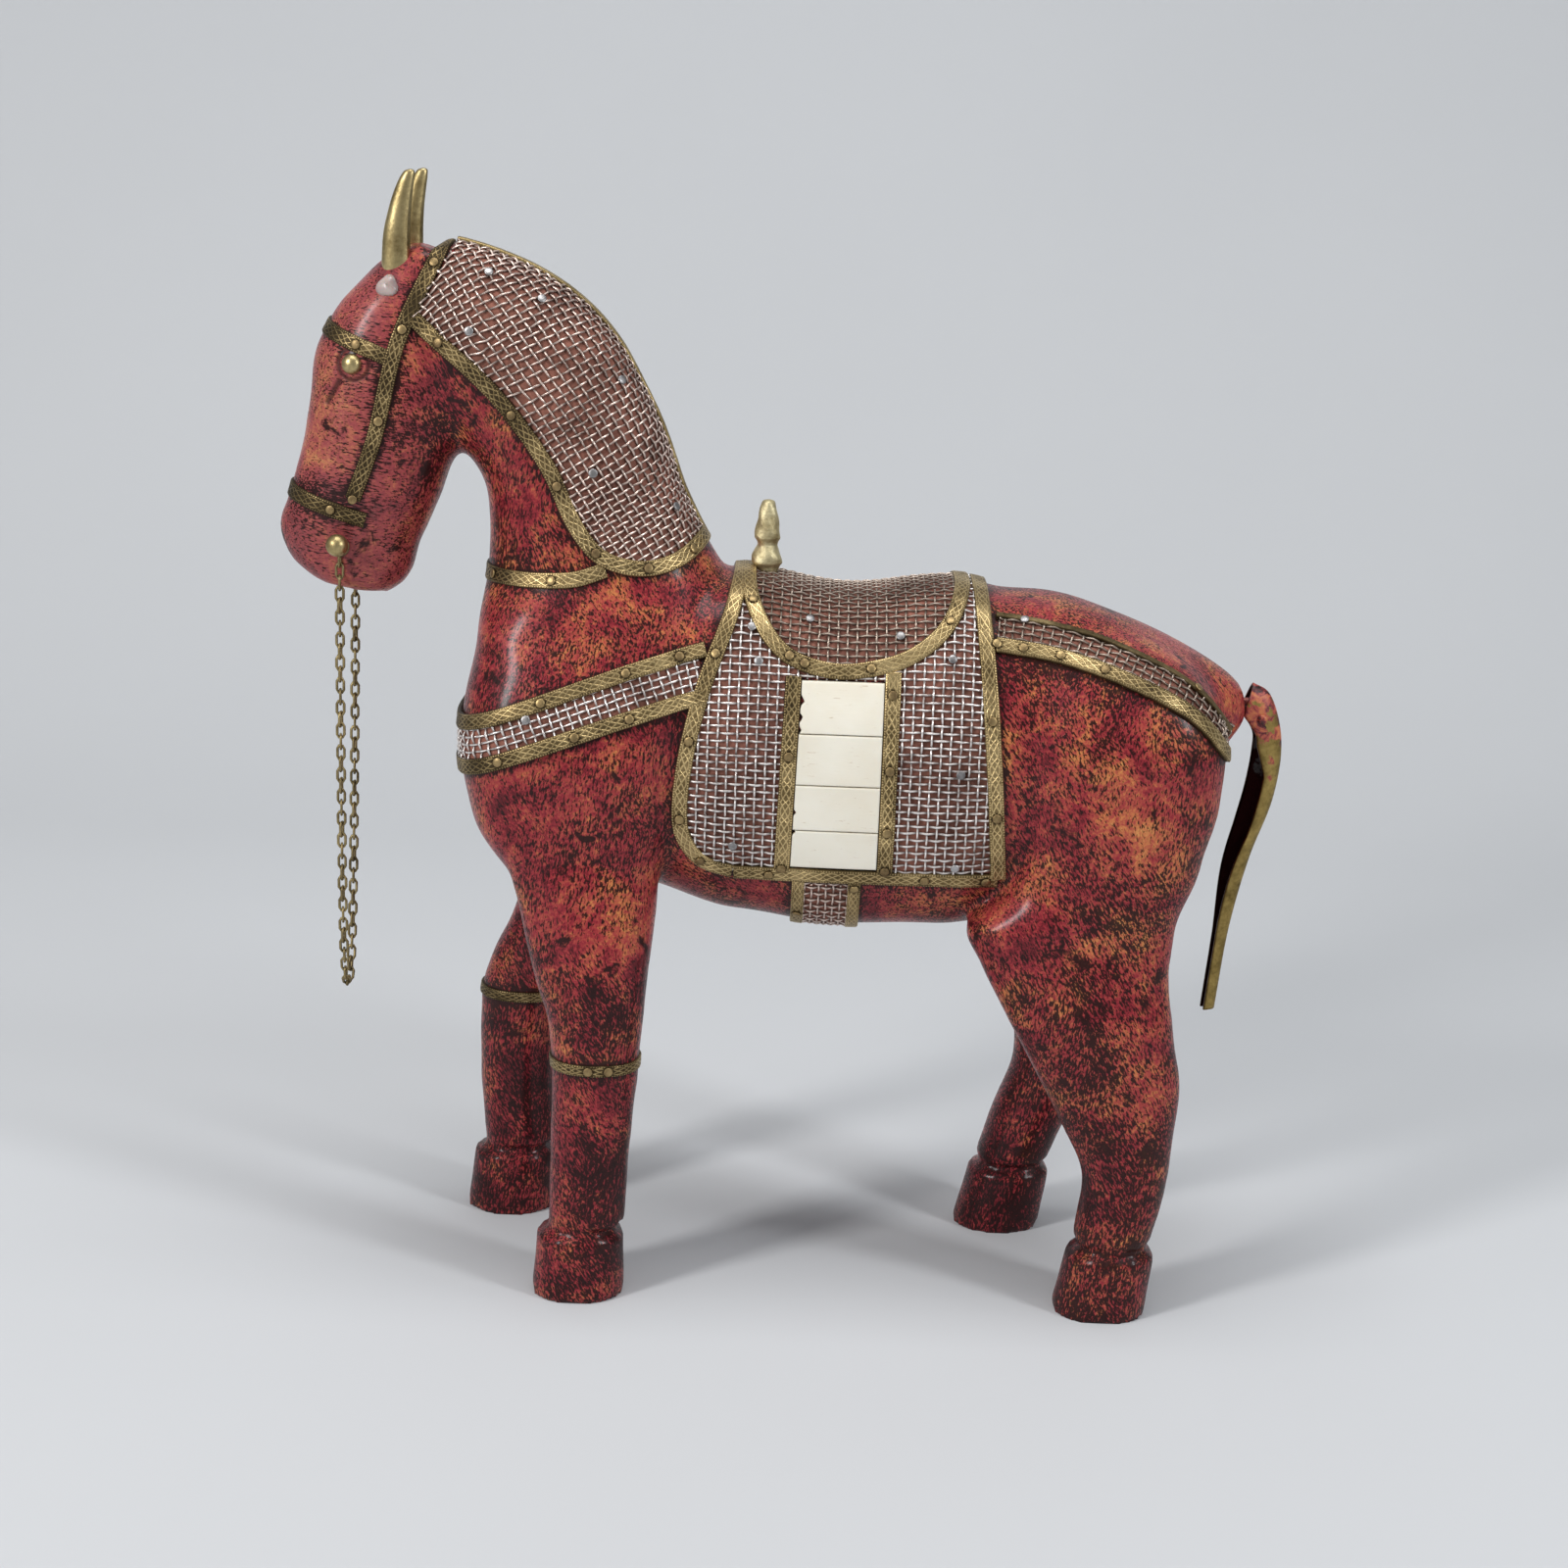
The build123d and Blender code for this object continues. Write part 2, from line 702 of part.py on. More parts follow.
# Ears: cast brass leaves, hollowed at the back, on tangs driven into the poll
ear_rows = [  # share of the height, lean, share of the length, share of the thickness
    (-0.2, 0, 0.95, 0.95),
    (0.3, -0.4, 1.02, 1.05),
    (0.6, -0.2, 0.9, 0.92),
    (0.83, 1.2, 0.62, 0.68),
    (1, 3.2, 0.26, 0.32),
]


def ear_sections(side, shift, shrink):
    sections = []
    for height, lean, long, wide in ear_rows:
        plane = Plane.XY.offset(leg_length + ear_spot[1] + height * ear_height).shift_origin(
            (ear_spot[0] + lean + shift, side * ear_spacing / 2, leg_length + ear_spot[1] + height * ear_height)
        )
        sections.append(section(plane, ear_length / 2 * long * shrink, ear_thickness / 2 * wide * shrink))
    return sections


for side, side_name in ((near, "left"), (far, "right")):
    with BuildPart() as ear:
        loft(sections=ear_sections(side, 0, 1), ruled=True)
        loft(sections=ear_sections(side, ear_length / 2, ear_hollow)[1:], ruled=True, mode=Mode.SUBTRACT)
        add(poll_core, mode=Mode.SUBTRACT)
        add(neck_core, mode=Mode.SUBTRACT)
        peg(ear_plane(side), tang_diameter, tang_clearance - tang_depth, tang_depth, tang_cuts)
    save(ear, f"ear_{side_name}")

# A drop of hardened glue at the root of the left ear
glue_place, glue_normal = surface_spot(head_core, glue_spot, near)
with BuildPart() as glue_drop:
    radius = glue_diameter / 2
    dome = [(radius * wide, radius * high) for wide, high in ((0.9, -0.5), (1, 0), (0.8, 0.5), (0.35, 0.75))]
    turned(Plane(origin=glue_place, z_dir=glue_normal), dome, tang_cuts + 2)
    add(head_core, mode=Mode.SUBTRACT)
    add(neck_core, mode=Mode.SUBTRACT)
save(glue_drop, "glue_drop")

# Eyes and bit bosses: round brass heads on shanks
for side, side_name in ((near, "left"), (far, "right")):
    with BuildPart() as eye_stud:
        radius = eye_diameter / 2
        dome = [(radius, 0), (radius * 0.85, eye_height * 0.6), (radius * 0.4, eye_height)]
        turned(eye_plane(side), dome, turned_cuts)
        peg(eye_plane(side), tang_diameter, tang_clearance - tang_depth, 0, tang_cuts)
    save(eye_stud, f"eye_stud_{side_name}")

    with BuildPart() as bit_boss:
        radius = bit_ball_diameter / 2
        middle = bit_stand_off + radius
        tilts = (-1.25, -0.75, -0.25, 0.25, 0.75, 1.25)
        ball = [(radius * cos(tilt), middle + radius * sin(tilt)) for tilt in tilts]
        turned(bit_plane(side), ball, turned_cuts)
        peg(bit_plane(side), bit_shank_diameter, 0, middle, turned_cuts)
        peg(bit_plane(side), tang_diameter, tang_clearance - tang_depth, 0, tang_cuts)
    save(bit_boss, f"bit_boss_{side_name}")

# Rein: a ring hangs on each bit shank, and one loop of chain hangs between the two rings
ring_inner = ring_diameter / 2 - wire_thickness
ring_sag = ring_inner - bit_shank_diameter / 2 - ring_play
ring_height = leg_length + bit_spot[1] - ring_sag
ring_y = abs(bit_places[near][0].Y) + bit_stand_off / 2

for side, side_name in ((near, "left"), (far, "right")):
    ring_middle = (bit_spot[0], side * ring_y, ring_height)
    ring_plane = Plane(origin=ring_middle, x_dir=(1, 0, 0), z_dir=(0, -1, 0))
    with BuildPart(ring_plane) as bit_ring:
        with BuildSketch(ring_plane):
            RegularPolygon(ring_diameter / 2, 12, rotation=15, major_radius=False)
            RegularPolygon(ring_inner, 12, rotation=15, major_radius=False, mode=Mode.SUBTRACT)
        extrude(amount=wire_thickness / 2, both=True)
    save(bit_ring, f"bit_ring_{side_name}")

with BuildPart() as link:
    with BuildSketch():
        Rectangle(link_pitch + link_play + 2 * wire_thickness, link_width)
        Rectangle(link_pitch + link_play, link_width - 2 * wire_thickness, mode=Mode.SUBTRACT)
    extrude(amount=wire_thickness / 2, both=True)


def catenary_width(span, drop):
    """The radius at the bottom of a chain that hangs between two points, found by halving."""
    low, high = span / 20, span
    for _ in range(60):
        middle = (low + high) / 2
        if middle * (cosh(span / middle) - 1) > drop:
            low = middle
        else:
            high = middle
    return middle


chain_top = ring_height - ring_inner + link_play / 2
bottom_radius = catenary_width(ring_y, rein_drop)
half_chain = bottom_radius * sinh(ring_y / bottom_radius)
link_count = 2 * ceil(half_chain / link_pitch) + 1
spacing = 2 * half_chain / link_count
upper_count = 2 * round(link_count / 8)


def chain_pin(index):
    """Where two links bear on each other."""
    run = -half_chain + index * spacing
    rise = (bottom_radius**2 + run**2) ** 0.5 - bottom_radius
    return Vector(bit_spot[0], bottom_radius * asinh(run / bottom_radius), chain_top - rein_drop + rise)


def chain_link(index, lift):
    start, end = chain_pin(index), chain_pin(index + 1)
    along = (end - start).normalized()
    across = Vector(1, 0, 0) if index % 2 == 0 else Vector(1, 0, 0).cross(along)
    plane = Plane(origin=(start + end) / 2 + Vector(0, 0, lift), x_dir=along, z_dir=across)
    return plane.location * link.part


# The lower loop sits a bend gap high, so that its top links can turn in the upper strands
strands = {
    "rein_chain_left": (range(upper_count), 0),
    "rein_chain_right": (range(link_count - upper_count, link_count), 0),
    "rein_chain_loop": (range(upper_count, link_count - upper_count), bend_gap),
}
for strand_name, (indices, lift) in strands.items():
    strand = Compound(children=[chain_link(index, lift) for index in indices])
    strand.label = strand_name
    export_step(strand, f"parts/{strand_name}.step")

# Finial: a turned brass spike at the front of the seat
with BuildPart() as finial:
    finial_profile = [
        (finial_foot_diameter / 2 - 1, -finial_sink),
        (finial_foot_diameter / 2, 1.5),
        (finial_waist_diameter / 2, 4.5),
        (finial_shoulder_diameter / 2, 7.5),
        (finial_top_diameter / 2, finial_height),
    ]
    turned(finial_plane, finial_profile, turned_cuts)
    add(flank_lined, mode=Mode.SUBTRACT)
    add(seat_edge.part, mode=Mode.SUBTRACT)
    peg(finial_plane, tang_diameter, tang_clearance - tang_depth, finial_height / 2, tang_cuts)
save(finial, "finial")

# Tail: a bent brass channel, open towards the rump, held by a tang in the end of the rump
tail_top = tail_spot[1] + 6.5
outer_line = [
    (147, tail_top - tail_wall), (152, 60), (155, 46), (154, 32),
    (147.5, 13), (142.5, -12), (140, -39),
]
inner_line = [(147, 51), (148.5, 40), (146, 27), (141.5, 10), (138, -13), (136, -39)]


def tail_outline(wall):
    """The side view of the channel, its back drawn in by the wall."""
    with BuildSketch(side_view) as outline:
        with BuildLine():
            root = tail_spot[0] - wall * 4
            back = [(x - wall, z) for x, z in outer_line]
            front = [(x - wall * 4, z) for x, z in reversed(inner_line)]
            Polyline((root, tail_top - wall), *back, *front, (root, inner_line[0][1] + 4), close=True)
        make_face()
    return outline.sketch


with BuildPart() as tail:
    extrude(tail_outline(0), amount=tail_width / 2, both=True)
    extrude(tail_outline(tail_wall), amount=tail_width / 2 - tail_wall, both=True, mode=Mode.SUBTRACT)
    peg(tail_plane, tang_diameter, tang_clearance - tang_depth, tail_root, tang_cuts)
save(tail, "tail")
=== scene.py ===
import math
import bmesh
import bpy
import numpy as np
from mathutils import Matrix, Vector
from mathutils.bvhtree import BVHTree


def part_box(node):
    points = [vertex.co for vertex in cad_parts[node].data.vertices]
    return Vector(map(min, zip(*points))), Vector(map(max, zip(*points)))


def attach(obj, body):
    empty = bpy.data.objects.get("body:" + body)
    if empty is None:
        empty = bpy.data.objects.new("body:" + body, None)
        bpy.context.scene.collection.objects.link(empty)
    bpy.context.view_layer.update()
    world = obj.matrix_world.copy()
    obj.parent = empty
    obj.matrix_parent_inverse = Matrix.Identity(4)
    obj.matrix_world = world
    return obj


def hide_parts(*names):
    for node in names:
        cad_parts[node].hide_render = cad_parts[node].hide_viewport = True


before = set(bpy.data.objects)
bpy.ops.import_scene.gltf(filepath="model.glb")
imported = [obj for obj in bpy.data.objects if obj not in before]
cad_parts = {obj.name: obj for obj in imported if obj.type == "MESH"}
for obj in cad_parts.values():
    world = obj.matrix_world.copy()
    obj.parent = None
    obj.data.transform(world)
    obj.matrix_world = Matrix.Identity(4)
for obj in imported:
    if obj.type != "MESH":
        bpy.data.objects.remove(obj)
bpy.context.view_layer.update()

mm = 0.001
elbow = 128.0  # side-view heights are measured from the elbow joint, in millimetres
near, far = -1, 1  # the horse's left side is towards -Y
flanks = ((near, "left"), (far, "right"))
rng = np.random.default_rng(7)
print("frame loaded", len(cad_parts), "nodes")


class Tone:
    def __init__(self, tree, out):
        self.tree = tree
        self.out = out

    def make(self, kind, settings=None, sockets=None, output=0):
        node = self.tree.nodes.new(kind)
        for name, value in (settings or {}).items():
            if name == "stops":
                ramp = node.color_ramp.elements
                while len(ramp) < len(value):
                    ramp.new(0.5)
                for stop, (place, colour) in zip(ramp, value):
                    stop.position = place
                    stop.color = (*colour, 1)
            else:
                setattr(node, name, value)
        for name, value in (sockets or {}).items():
            if isinstance(value, Tone):
                self.tree.links.new(value.out, node.inputs[name])
            else:
                node.inputs[name].default_value = value
        return Tone(self.tree, node.outputs[output])

    def math(self, operation, other=0.0, flip=False):
        first, second = (other, self) if flip else (self, other)
        return self.make("ShaderNodeMath", {"operation": operation}, {0: first, 1: second})

    def __add__(self, other):
        return self.math("ADD", other)

    def __sub__(self, other):
        return self.math("SUBTRACT", other)

    def __rsub__(self, other):
        return self.math("SUBTRACT", other, flip=True)

    def __mul__(self, other):
        return self.math("MULTIPLY", other)

    __radd__, __rmul__ = __add__, __mul__

    def ramp(self, low, high):  # 0 at low, 1 at high, straight between
        return self.make("ShaderNodeMapRange", {"clamp": True}, {0: self, 1: low, 2: high, 3: 0.0, 4: 1.0})

    def colours(self, *stops):
        return self.make("ShaderNodeValToRGB", {"stops": stops}, {0: self})

    def mix(self, first, second):  # colours blended with this tone as the share of the second
        pick = lambda value: value if isinstance(value, Tone) else (*value, 1)
        sockets = {0: self, 6: pick(first), 7: pick(second)}
        return self.make("ShaderNodeMix", {"data_type": "RGBA"}, sockets, output=2)

    def noise(self, scale, detail=3.0, roughness=0.55, stretch=(1, 1, 1), distortion=0.0, lean=0.0):
        # lean turns the pattern in the side view before it is stretched
        place = self.make("ShaderNodeMapping", {"vector_type": "TEXTURE"}, {
            "Vector": self, "Rotation": (0, lean, 0), "Scale": tuple(1 / share for share in stretch)})
        return self.make("ShaderNodeTexNoise", {}, {
            "Vector": place, "Scale": scale, "Detail": detail,
            "Roughness": roughness, "Distortion": distortion})

    def soot(self):  # the share of grime and painted shade stored at each point of the mesh
        return self.make("ShaderNodeAttribute", {"attribute_name": "soot"}, output=2)

    def part(self, index):  # x, y or z of a place
        return self.make("ShaderNodeSeparateXYZ", {}, {0: self}, output=index)


class Finish:
    def __init__(self, name, **fixed):
        self.material = bpy.data.materials.new(name)
        self.material.use_nodes = True
        self.tree = self.material.node_tree
        self.shader = self.tree.nodes["Principled BSDF"]
        coordinates = self.tree.nodes.new("ShaderNodeTexCoord")
        self.place = Tone(self.tree, coordinates.outputs["Object"])
        self.uv = Tone(self.tree, coordinates.outputs["UV"])
        for socket, value in fixed.items():
            self.shader.inputs[socket.replace("_", " ")].default_value = value

    def link(self, socket, tone):
        self.tree.links.new(tone.out, self.shader.inputs[socket])

    def bump(self, height, strength, distance):
        sockets = {"Height": height, "Strength": strength, "Distance": distance}
        self.link("Normal", self.place.make("ShaderNodeBump", {}, sockets))


# camera matched to the photo: 63 mm lens on a 36 mm wide square frame
cameraSet = {"place": (0, -0.836, 0.366), "pitch": 76.0, "roll": 2.2, "lens": 63.0, "sensor": 36,
             "frame": 1600}
cameraData = bpy.data.cameras.new("photoCamera")
cameraData.lens = cameraSet["lens"]
cameraData.sensor_width = cameraSet["sensor"]
cameraData.clip_start = 0.01
camera = bpy.data.objects.new("photoCamera", cameraData)
camera.matrix_world = (
    Matrix.Translation(cameraSet["place"])
    @ Matrix.Rotation(math.radians(cameraSet["pitch"]), 4, "X")
    @ Matrix.Rotation(math.radians(cameraSet["roll"]), 4, "Z"))
bpy.context.scene.collection.objects.link(camera)
bpy.context.scene.camera = camera
bpy.context.scene.view_settings.view_transform = "Standard"


def pixelRay(x, y):
    # direction through a pixel of the square picture, in the horse's frame
    focal = cameraSet["lens"] / cameraSet["sensor"] * cameraSet["frame"]
    half = cameraSet["frame"] / 2
    way = camera.matrix_world.to_3x3() @ Vector(((x - half) / focal, (half - y) / focal, -1))
    return way.normalized()


def pathRun(path):
    # the way gone from the start of a path to each of its points
    return np.concatenate([[0], np.cumsum(np.linalg.norm(np.diff(path, axis=0), axis=1))])


def smoothRows(rows, count, monotone=True):
    # cubic through the rows, spaced by their distance; monotone keeps it from swelling past a given size
    rows = np.asarray(rows, float)
    run = pathRun(rows)
    step = np.diff(run)[:, None]
    slope = np.diff(rows, axis=0) / step
    tangent = np.concatenate([slope[:1], slope[:-1] / 2 + slope[1:] / 2, slope[-1:]])
    if monotone:
        same = slope[:-1] * slope[1:] > 0
        total = np.where(same, slope[:-1] + slope[1:], 1)
        tangent[1:-1] = np.where(same, 2 * slope[:-1] * slope[1:] / total, 0)
    at = np.linspace(0, run[-1], count)
    low = np.clip(np.searchsorted(run, at, "right") - 1, 0, len(step) - 1)
    t = ((at - run[low]) / step[low, 0])[:, None]
    return (
        (1 + 2 * t) * (1 - t) ** 2 * rows[low] + t * (1 - t) ** 2 * step[low] * tangent[low]
        + t * t * (3 - 2 * t) * rows[low + 1] + t * t * (t - 1) * step[low] * tangent[low + 1])


def unit(vectors):
    return vectors / np.maximum(np.linalg.norm(vectors, axis=-1, keepdims=True), 1e-9)


def tubeFaces(rings, cuts, closed=False):
    # quads between neighbouring rings; open ends are closed by quads folded across the ring
    ring = np.arange(rings if closed else rings - 1)[:, None]
    cut = np.arange(cuts)[None, :]
    after, beside = (ring + 1) % rings, (cut + 1) % cuts
    quads = np.stack([ring * cuts + cut, ring * cuts + beside, after * cuts + beside, after * cuts + cut], -1)
    quads = quads.reshape(-1, 4)
    if closed:
        return quads
    fold = np.arange(cuts // 2 - 1)
    cap = np.stack([fold, cuts - 1 - fold, cuts - 2 - fold, fold + 1], -1)
    return np.concatenate([quads, cap, cap[:, ::-1] + (rings - 1) * cuts])


def gridFaces(index):
    # quads between the point numbers of a table
    return np.stack([index[:-1, :-1], index[1:, :-1], index[1:, 1:], index[:-1, 1:]], -1)


def joinShells(shells):
    # several (points, quads) as one
    points = np.concatenate([shell[0].reshape(-1, 3) for shell in shells])
    starts = np.cumsum([0] + [len(shell[0].reshape(-1, 3)) for shell in shells[:-1]])
    return points, np.concatenate([shell[1] + start for shell, start in zip(shells, starts)])


def turnOutward(mesh):
    shell = bmesh.new()
    shell.from_mesh(mesh)
    bmesh.ops.recalc_face_normals(shell, faces=shell.faces)
    shell.to_mesh(mesh)
    shell.free()


# each point's darkening: painted shade in hollows and where wires dip, and the darker lines by strips and
# tack heads
def addGrimeAndShade(mesh, soot):
    mesh.attributes.new("soot", "FLOAT", "POINT").data.foreach_set("value", soot)


def newPiece(name, points, quads, finish, body="horse", slot=None, stands=(), uv=None, soot=None):
    mesh = bpy.data.meshes.new(name)
    mesh.from_pydata((points.reshape(-1, 3) * mm).tolist(), [], quads.tolist())
    turnOutward(mesh)
    mesh.polygons.foreach_set("use_smooth", np.ones(len(mesh.polygons), bool))
    if uv is not None:
        corner = np.zeros(len(mesh.loops), int)
        mesh.loops.foreach_get("vertex_index", corner)
        mesh.uv_layers.new(name="strip").data.foreach_set("uv", uv.reshape(-1, 2)[corner].ravel())
    if soot is not None:
        addGrimeAndShade(mesh, soot)
    mesh.update()
    mesh.materials.append(finish.material)
    piece = bpy.data.objects.new(name, mesh)
    bpy.context.scene.collection.objects.link(piece)
    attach(piece, body)
    if stands:
        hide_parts(*stands)
    return piece


# lacquer: crimson and orange patches under fine black strokes, with painted shade in the hollows and towards
# the bottom, and darker beside the strips
lacquerSet = {
    "black": (0.013, 0.003, 0.003), "maroon": (0.11, 0.010, 0.015), "crimson": (0.29, 0.026, 0.036),
    "red": (0.40, 0.070, 0.050), "orange": (0.54, 0.175, 0.065), "amber": (0.64, 0.31, 0.10),
    "haze": (0.34, 0.14, 0.135), "rear": (0.03, 0.10), "low": (0.02, 0.13), "head": (-0.128, -0.105),
    "patches": 60, "spots": 230, "specks": 1000, "strokes": 1350, "headStrokes": 1450, "turns": 21,
    "clouds": 38, "smudges": 85}
eyeSet = {"x": -0.1326, "z": 0.2850, "ring": 0.0047, "tearX": -0.1368, "tearZ": 0.2800, "tear": 0.0080,
          "slope": 1.05}


def eyeCut(place):
    # a knife line round each eye stud, and a tear line that runs down from it
    x, z = place.part(0) - eyeSet["x"], place.part(2) - eyeSet["z"]
    ring = 1 - ((x * x + z * z).math("SQRT") - eyeSet["ring"]).math("ABSOLUTE").ramp(0.0003, 0.0010)
    c, s = -math.cos(eyeSet["slope"]), -math.sin(eyeSet["slope"])
    x, z = place.part(0) - eyeSet["tearX"], place.part(2) - eyeSet["tearZ"]
    run, off = x * c + z * s, (x * s - z * c).math("ABSOLUTE")
    tear = (1 - off.ramp(0.0004, 0.0012)) * run.ramp(-0.001, 0)
    tear = tear * (1 - run.ramp(eyeSet["tear"], eyeSet["tear"] + 0.001))
    return ring.math("MAXIMUM", tear)


def lacquerFinish():
    finish = Finish("wornLacquer", Coat_Weight=0.24, Coat_Roughness=0.18, Specular_IOR_Level=0.12)
    place, c = finish.place, lacquerSet
    rear = place.part(0).ramp(*c["rear"])
    # low: painted shade, darker and cooler towards the bottom of the legs
    low = 1 - place.part(2).ramp(*c["low"])
    head = 1 - place.part(0).ramp(*c["head"])
    patch = place.noise(c["patches"], 4, 0.6, distortion=0.7)
    spot = place.noise(c["spots"], 5, 0.72, distortion=0.9)
    speck = place.noise(c["specks"], 3, 0.6)
    upright = place.noise(c["strokes"], 3, 0.6, stretch=(1.2, 1.2, 0.4), lean=0.12, distortion=0.3)
    slanted = place.noise(c["strokes"], 3, 0.6, stretch=(1.2, 1.2, 0.4), lean=-0.5, distortion=0.3)
    level = place.noise(c["headStrokes"], 3, 0.6, stretch=(0.26, 1.2, 1.4), lean=0.1)
    turn = place.noise(c["turns"], 2).ramp(0.47, 0.53)
    stroke = upright * turn + slanted * (1 - turn)
    stroke = level * head + stroke * (1 - head)
    warmth = patch * 0.44 + spot * 0.30 + speck * 0.28 - 0.01 + rear * 0.022 - low * 0.022
    paint = warmth.colours(
        (0.40, c["maroon"]), (0.465, c["crimson"]), (0.53, c["red"]), (0.595, c["orange"]),
        (0.69, c["amber"]))
    paint = (head * 0.3).mix(paint, c["haze"])
    # painted shade in the hollows and the darkening beside the strips, read from the mesh
    soot = place.soot()
    cloud = place.noise(c["clouds"], 4, 0.6, distortion=0.4)
    dark = stroke * 0.95 + cloud * 0.42 + speck * 0.25 - 0.805 + rear * 0.01 + low * 0.06 - head * 0.05
    smudge = place.noise(c["smudges"], 4, 0.65, distortion=0.6) * 0.9 + stroke * 0.1 + low * 0.03
    carve = eyeCut(place)
    shade = (dark + soot * 0.15).ramp(-0.015, 0.055).math("MAXIMUM", smudge.ramp(0.59, 0.64)) * 0.96
    shade = shade.math("MAXIMUM", carve * 0.75)
    finish.link("Base Color", shade.mix(paint, c["black"]))
    finish.link("Roughness", stroke * 0.4 + shade * 0.1 + 0.14)
    finish.bump(stroke * 0.7 + speck * 0.3 - carve * 1.2, 0.45, 0.0006)
    return finish


# stamped strip: bright lines on tarnished ground; UV x counts stamps along the strip, UV y runs across it
brassSet = {"ground": (0.21, 0.150, 0.068), "worn": (0.66, 0.50, 0.25), "tarnish": (0.060, 0.044, 0.024),
            "teeth": 44, "dull": (-0.12, -0.03), "dulling": 0.42}


def stripFinish():
    # a leaf and a cross in each stamp, fine teeth along both edges
    finish = Finish("stampedBrass", Metallic=1.0)
    along, across = finish.uv.part(0), finish.uv.part(1) * 2 - 1
    wide = across.math("ABSOLUTE")
    cell = (along.math("FRACT") - 0.5).math("ABSOLUTE") * 2
    leaf = 1 - (wide - (1 - cell * cell) * 0.6).math("ABSOLUTE").ramp(0.04, 0.13)
    cross = 1 - (wide - cell * 0.62).math("ABSOLUTE").ramp(0.05, 0.14)
    teeth = (along * brassSet["teeth"]).math("SINE").ramp(-0.3, 0.4)
    teeth = teeth * (1 - (wide - 0.83).math("ABSOLUTE").ramp(0.08, 0.13))
    stamp = leaf.math("MAXIMUM", cross).math("MAXIMUM", teeth) * (1 - wide.ramp(0.92, 0.97))
    dull = (1 - finish.place.part(0).ramp(*brassSet["dull"])) * brassSet["dulling"]  # duller towards the head
    grime = finish.place.noise(70, 5, 0.65) * 0.75 + finish.place.noise(14, 2) * 0.35
    fine = finish.place.noise(800, 3)
    # darker in a ring round each tack head and where the stored darkening is
    bright = stamp * 0.40 + grime * 1.9 + fine * 0.4 - 0.83 - dull - finish.place.soot() * 0.5
    metal = bright.colours((0.12, brassSet["tarnish"]), (0.38, brassSet["ground"]), (0.9, brassSet["worn"]))
    finish.link("Base Color", metal)
    finish.link("Roughness", 0.56 - bright * 0.2)
    finish.bump(stamp + fine * 0.2, 0.7, 0.00025)
    return finish


def castFinish(name, deep, bright, rough, pits=0.35):
    finish = Finish(name, Metallic=1.0)
    cloud = finish.place.noise(110, 5, 0.62)
    pit = finish.place.noise(900, 4, 0.6)
    mixed = (cloud * 0.8 + pit * 0.3).ramp(0.36, 0.72)
    finish.link("Base Color", mixed.mix(deep, bright))
    finish.link("Roughness", rough + 0.22 - mixed * 0.2)
    finish.bump(cloud * 0.5 + pit * 0.5, pits, 0.0005)
    return finish


def tailFinish():
    # the brass of the tail, with the lacquer that ran over its root, and black painted shade inside its
    # hollow
    finish = castFinish("paintedTailBrass", (0.10, 0.068, 0.022), (0.45, 0.32, 0.105), 0.32)
    brass = Tone(finish.tree, finish.shader.inputs["Base Color"].links[0].from_socket)
    ragged = finish.place.noise(130, 4, 0.6) * 0.05
    paint = (finish.place.part(2) + ragged * 1.7).ramp(0.2185, 0.2215)
    c = lacquerSet
    tone = finish.place.noise(190, 5, 0.7, distortion=0.6).colours(
        (0.40, c["black"]), (0.46, c["maroon"]), (0.53, c["red"]), (0.6, c["orange"]))
    finish.link("Base Color", finish.place.soot().mix(paint.mix(brass, tone), c["black"]))
    finish.shader.inputs["Metallic"].default_value = 0.0
    finish.link("Metallic", 1 - paint)
    return finish


def wireFinish(name, deep, bright):
    finish = Finish(name, Metallic=0.75)
    age = finish.place.noise(55, 4, 0.6) * 0.6 + finish.place.noise(700, 2) * 0.4
    dipShade = finish.place.soot()
    polishAndLight = age.ramp(0.31, 0.53) * (1 - dipShade * dipShade * 0.97)  # painted shade where it dips under its neighbour
    finish.link("Base Color", polishAndLight.mix(deep, bright))
    finish.link("Roughness", 0.46 - polishAndLight * 0.18)
    return finish


def backingFinish():
    finish = Finish("terracottaBacking", Specular_IOR_Level=0.3)
    cloud = finish.place.noise(60, 4) * 0.6 + finish.place.noise(500, 4, 0.6) * 0.4
    finish.link("Base Color", cloud.ramp(0.35, 0.66).mix((0.10, 0.040, 0.028), (0.38, 0.155, 0.11)))
    finish.link("Roughness", 0.95 - cloud * 0.3)
    finish.bump(cloud, 0.3, 0.0006)
    return finish


def boneFinish():
    finish = Finish(
        "sawnBone", Subsurface_Weight=0.12, Subsurface_Scale=0.002, Subsurface_Radius=(1, 0.8, 0.55))
    cloud = finish.place.noise(45, 4)
    grain = finish.place.noise(700, 3, 0.6, stretch=(0.35, 1, 2.2))
    pores = grain.ramp(0.67, 0.74)
    body = cloud.ramp(0.35, 0.65).mix((0.80, 0.74, 0.61), (0.86, 0.82, 0.71))
    finish.link("Base Color", (pores * 0.55).mix(body, (0.46, 0.31, 0.18)))
    finish.link("Roughness", cloud * 0.25 + 0.3)
    finish.bump(grain, 0.12, 0.0003)
    return finish


def glueFinish():
    finish = Finish("milkyGlue", Subsurface_Weight=0.3, Subsurface_Scale=0.002, IOR=1.48)
    cloud = finish.place.noise(220, 3)
    finish.link("Base Color", cloud.ramp(0.35, 0.65).mix((0.30, 0.23, 0.215), (0.48, 0.40, 0.375)))
    finish.link("Roughness", cloud * 0.2 + 0.18)
    finish.bump(cloud, 0.2, 0.0005)
    return finish


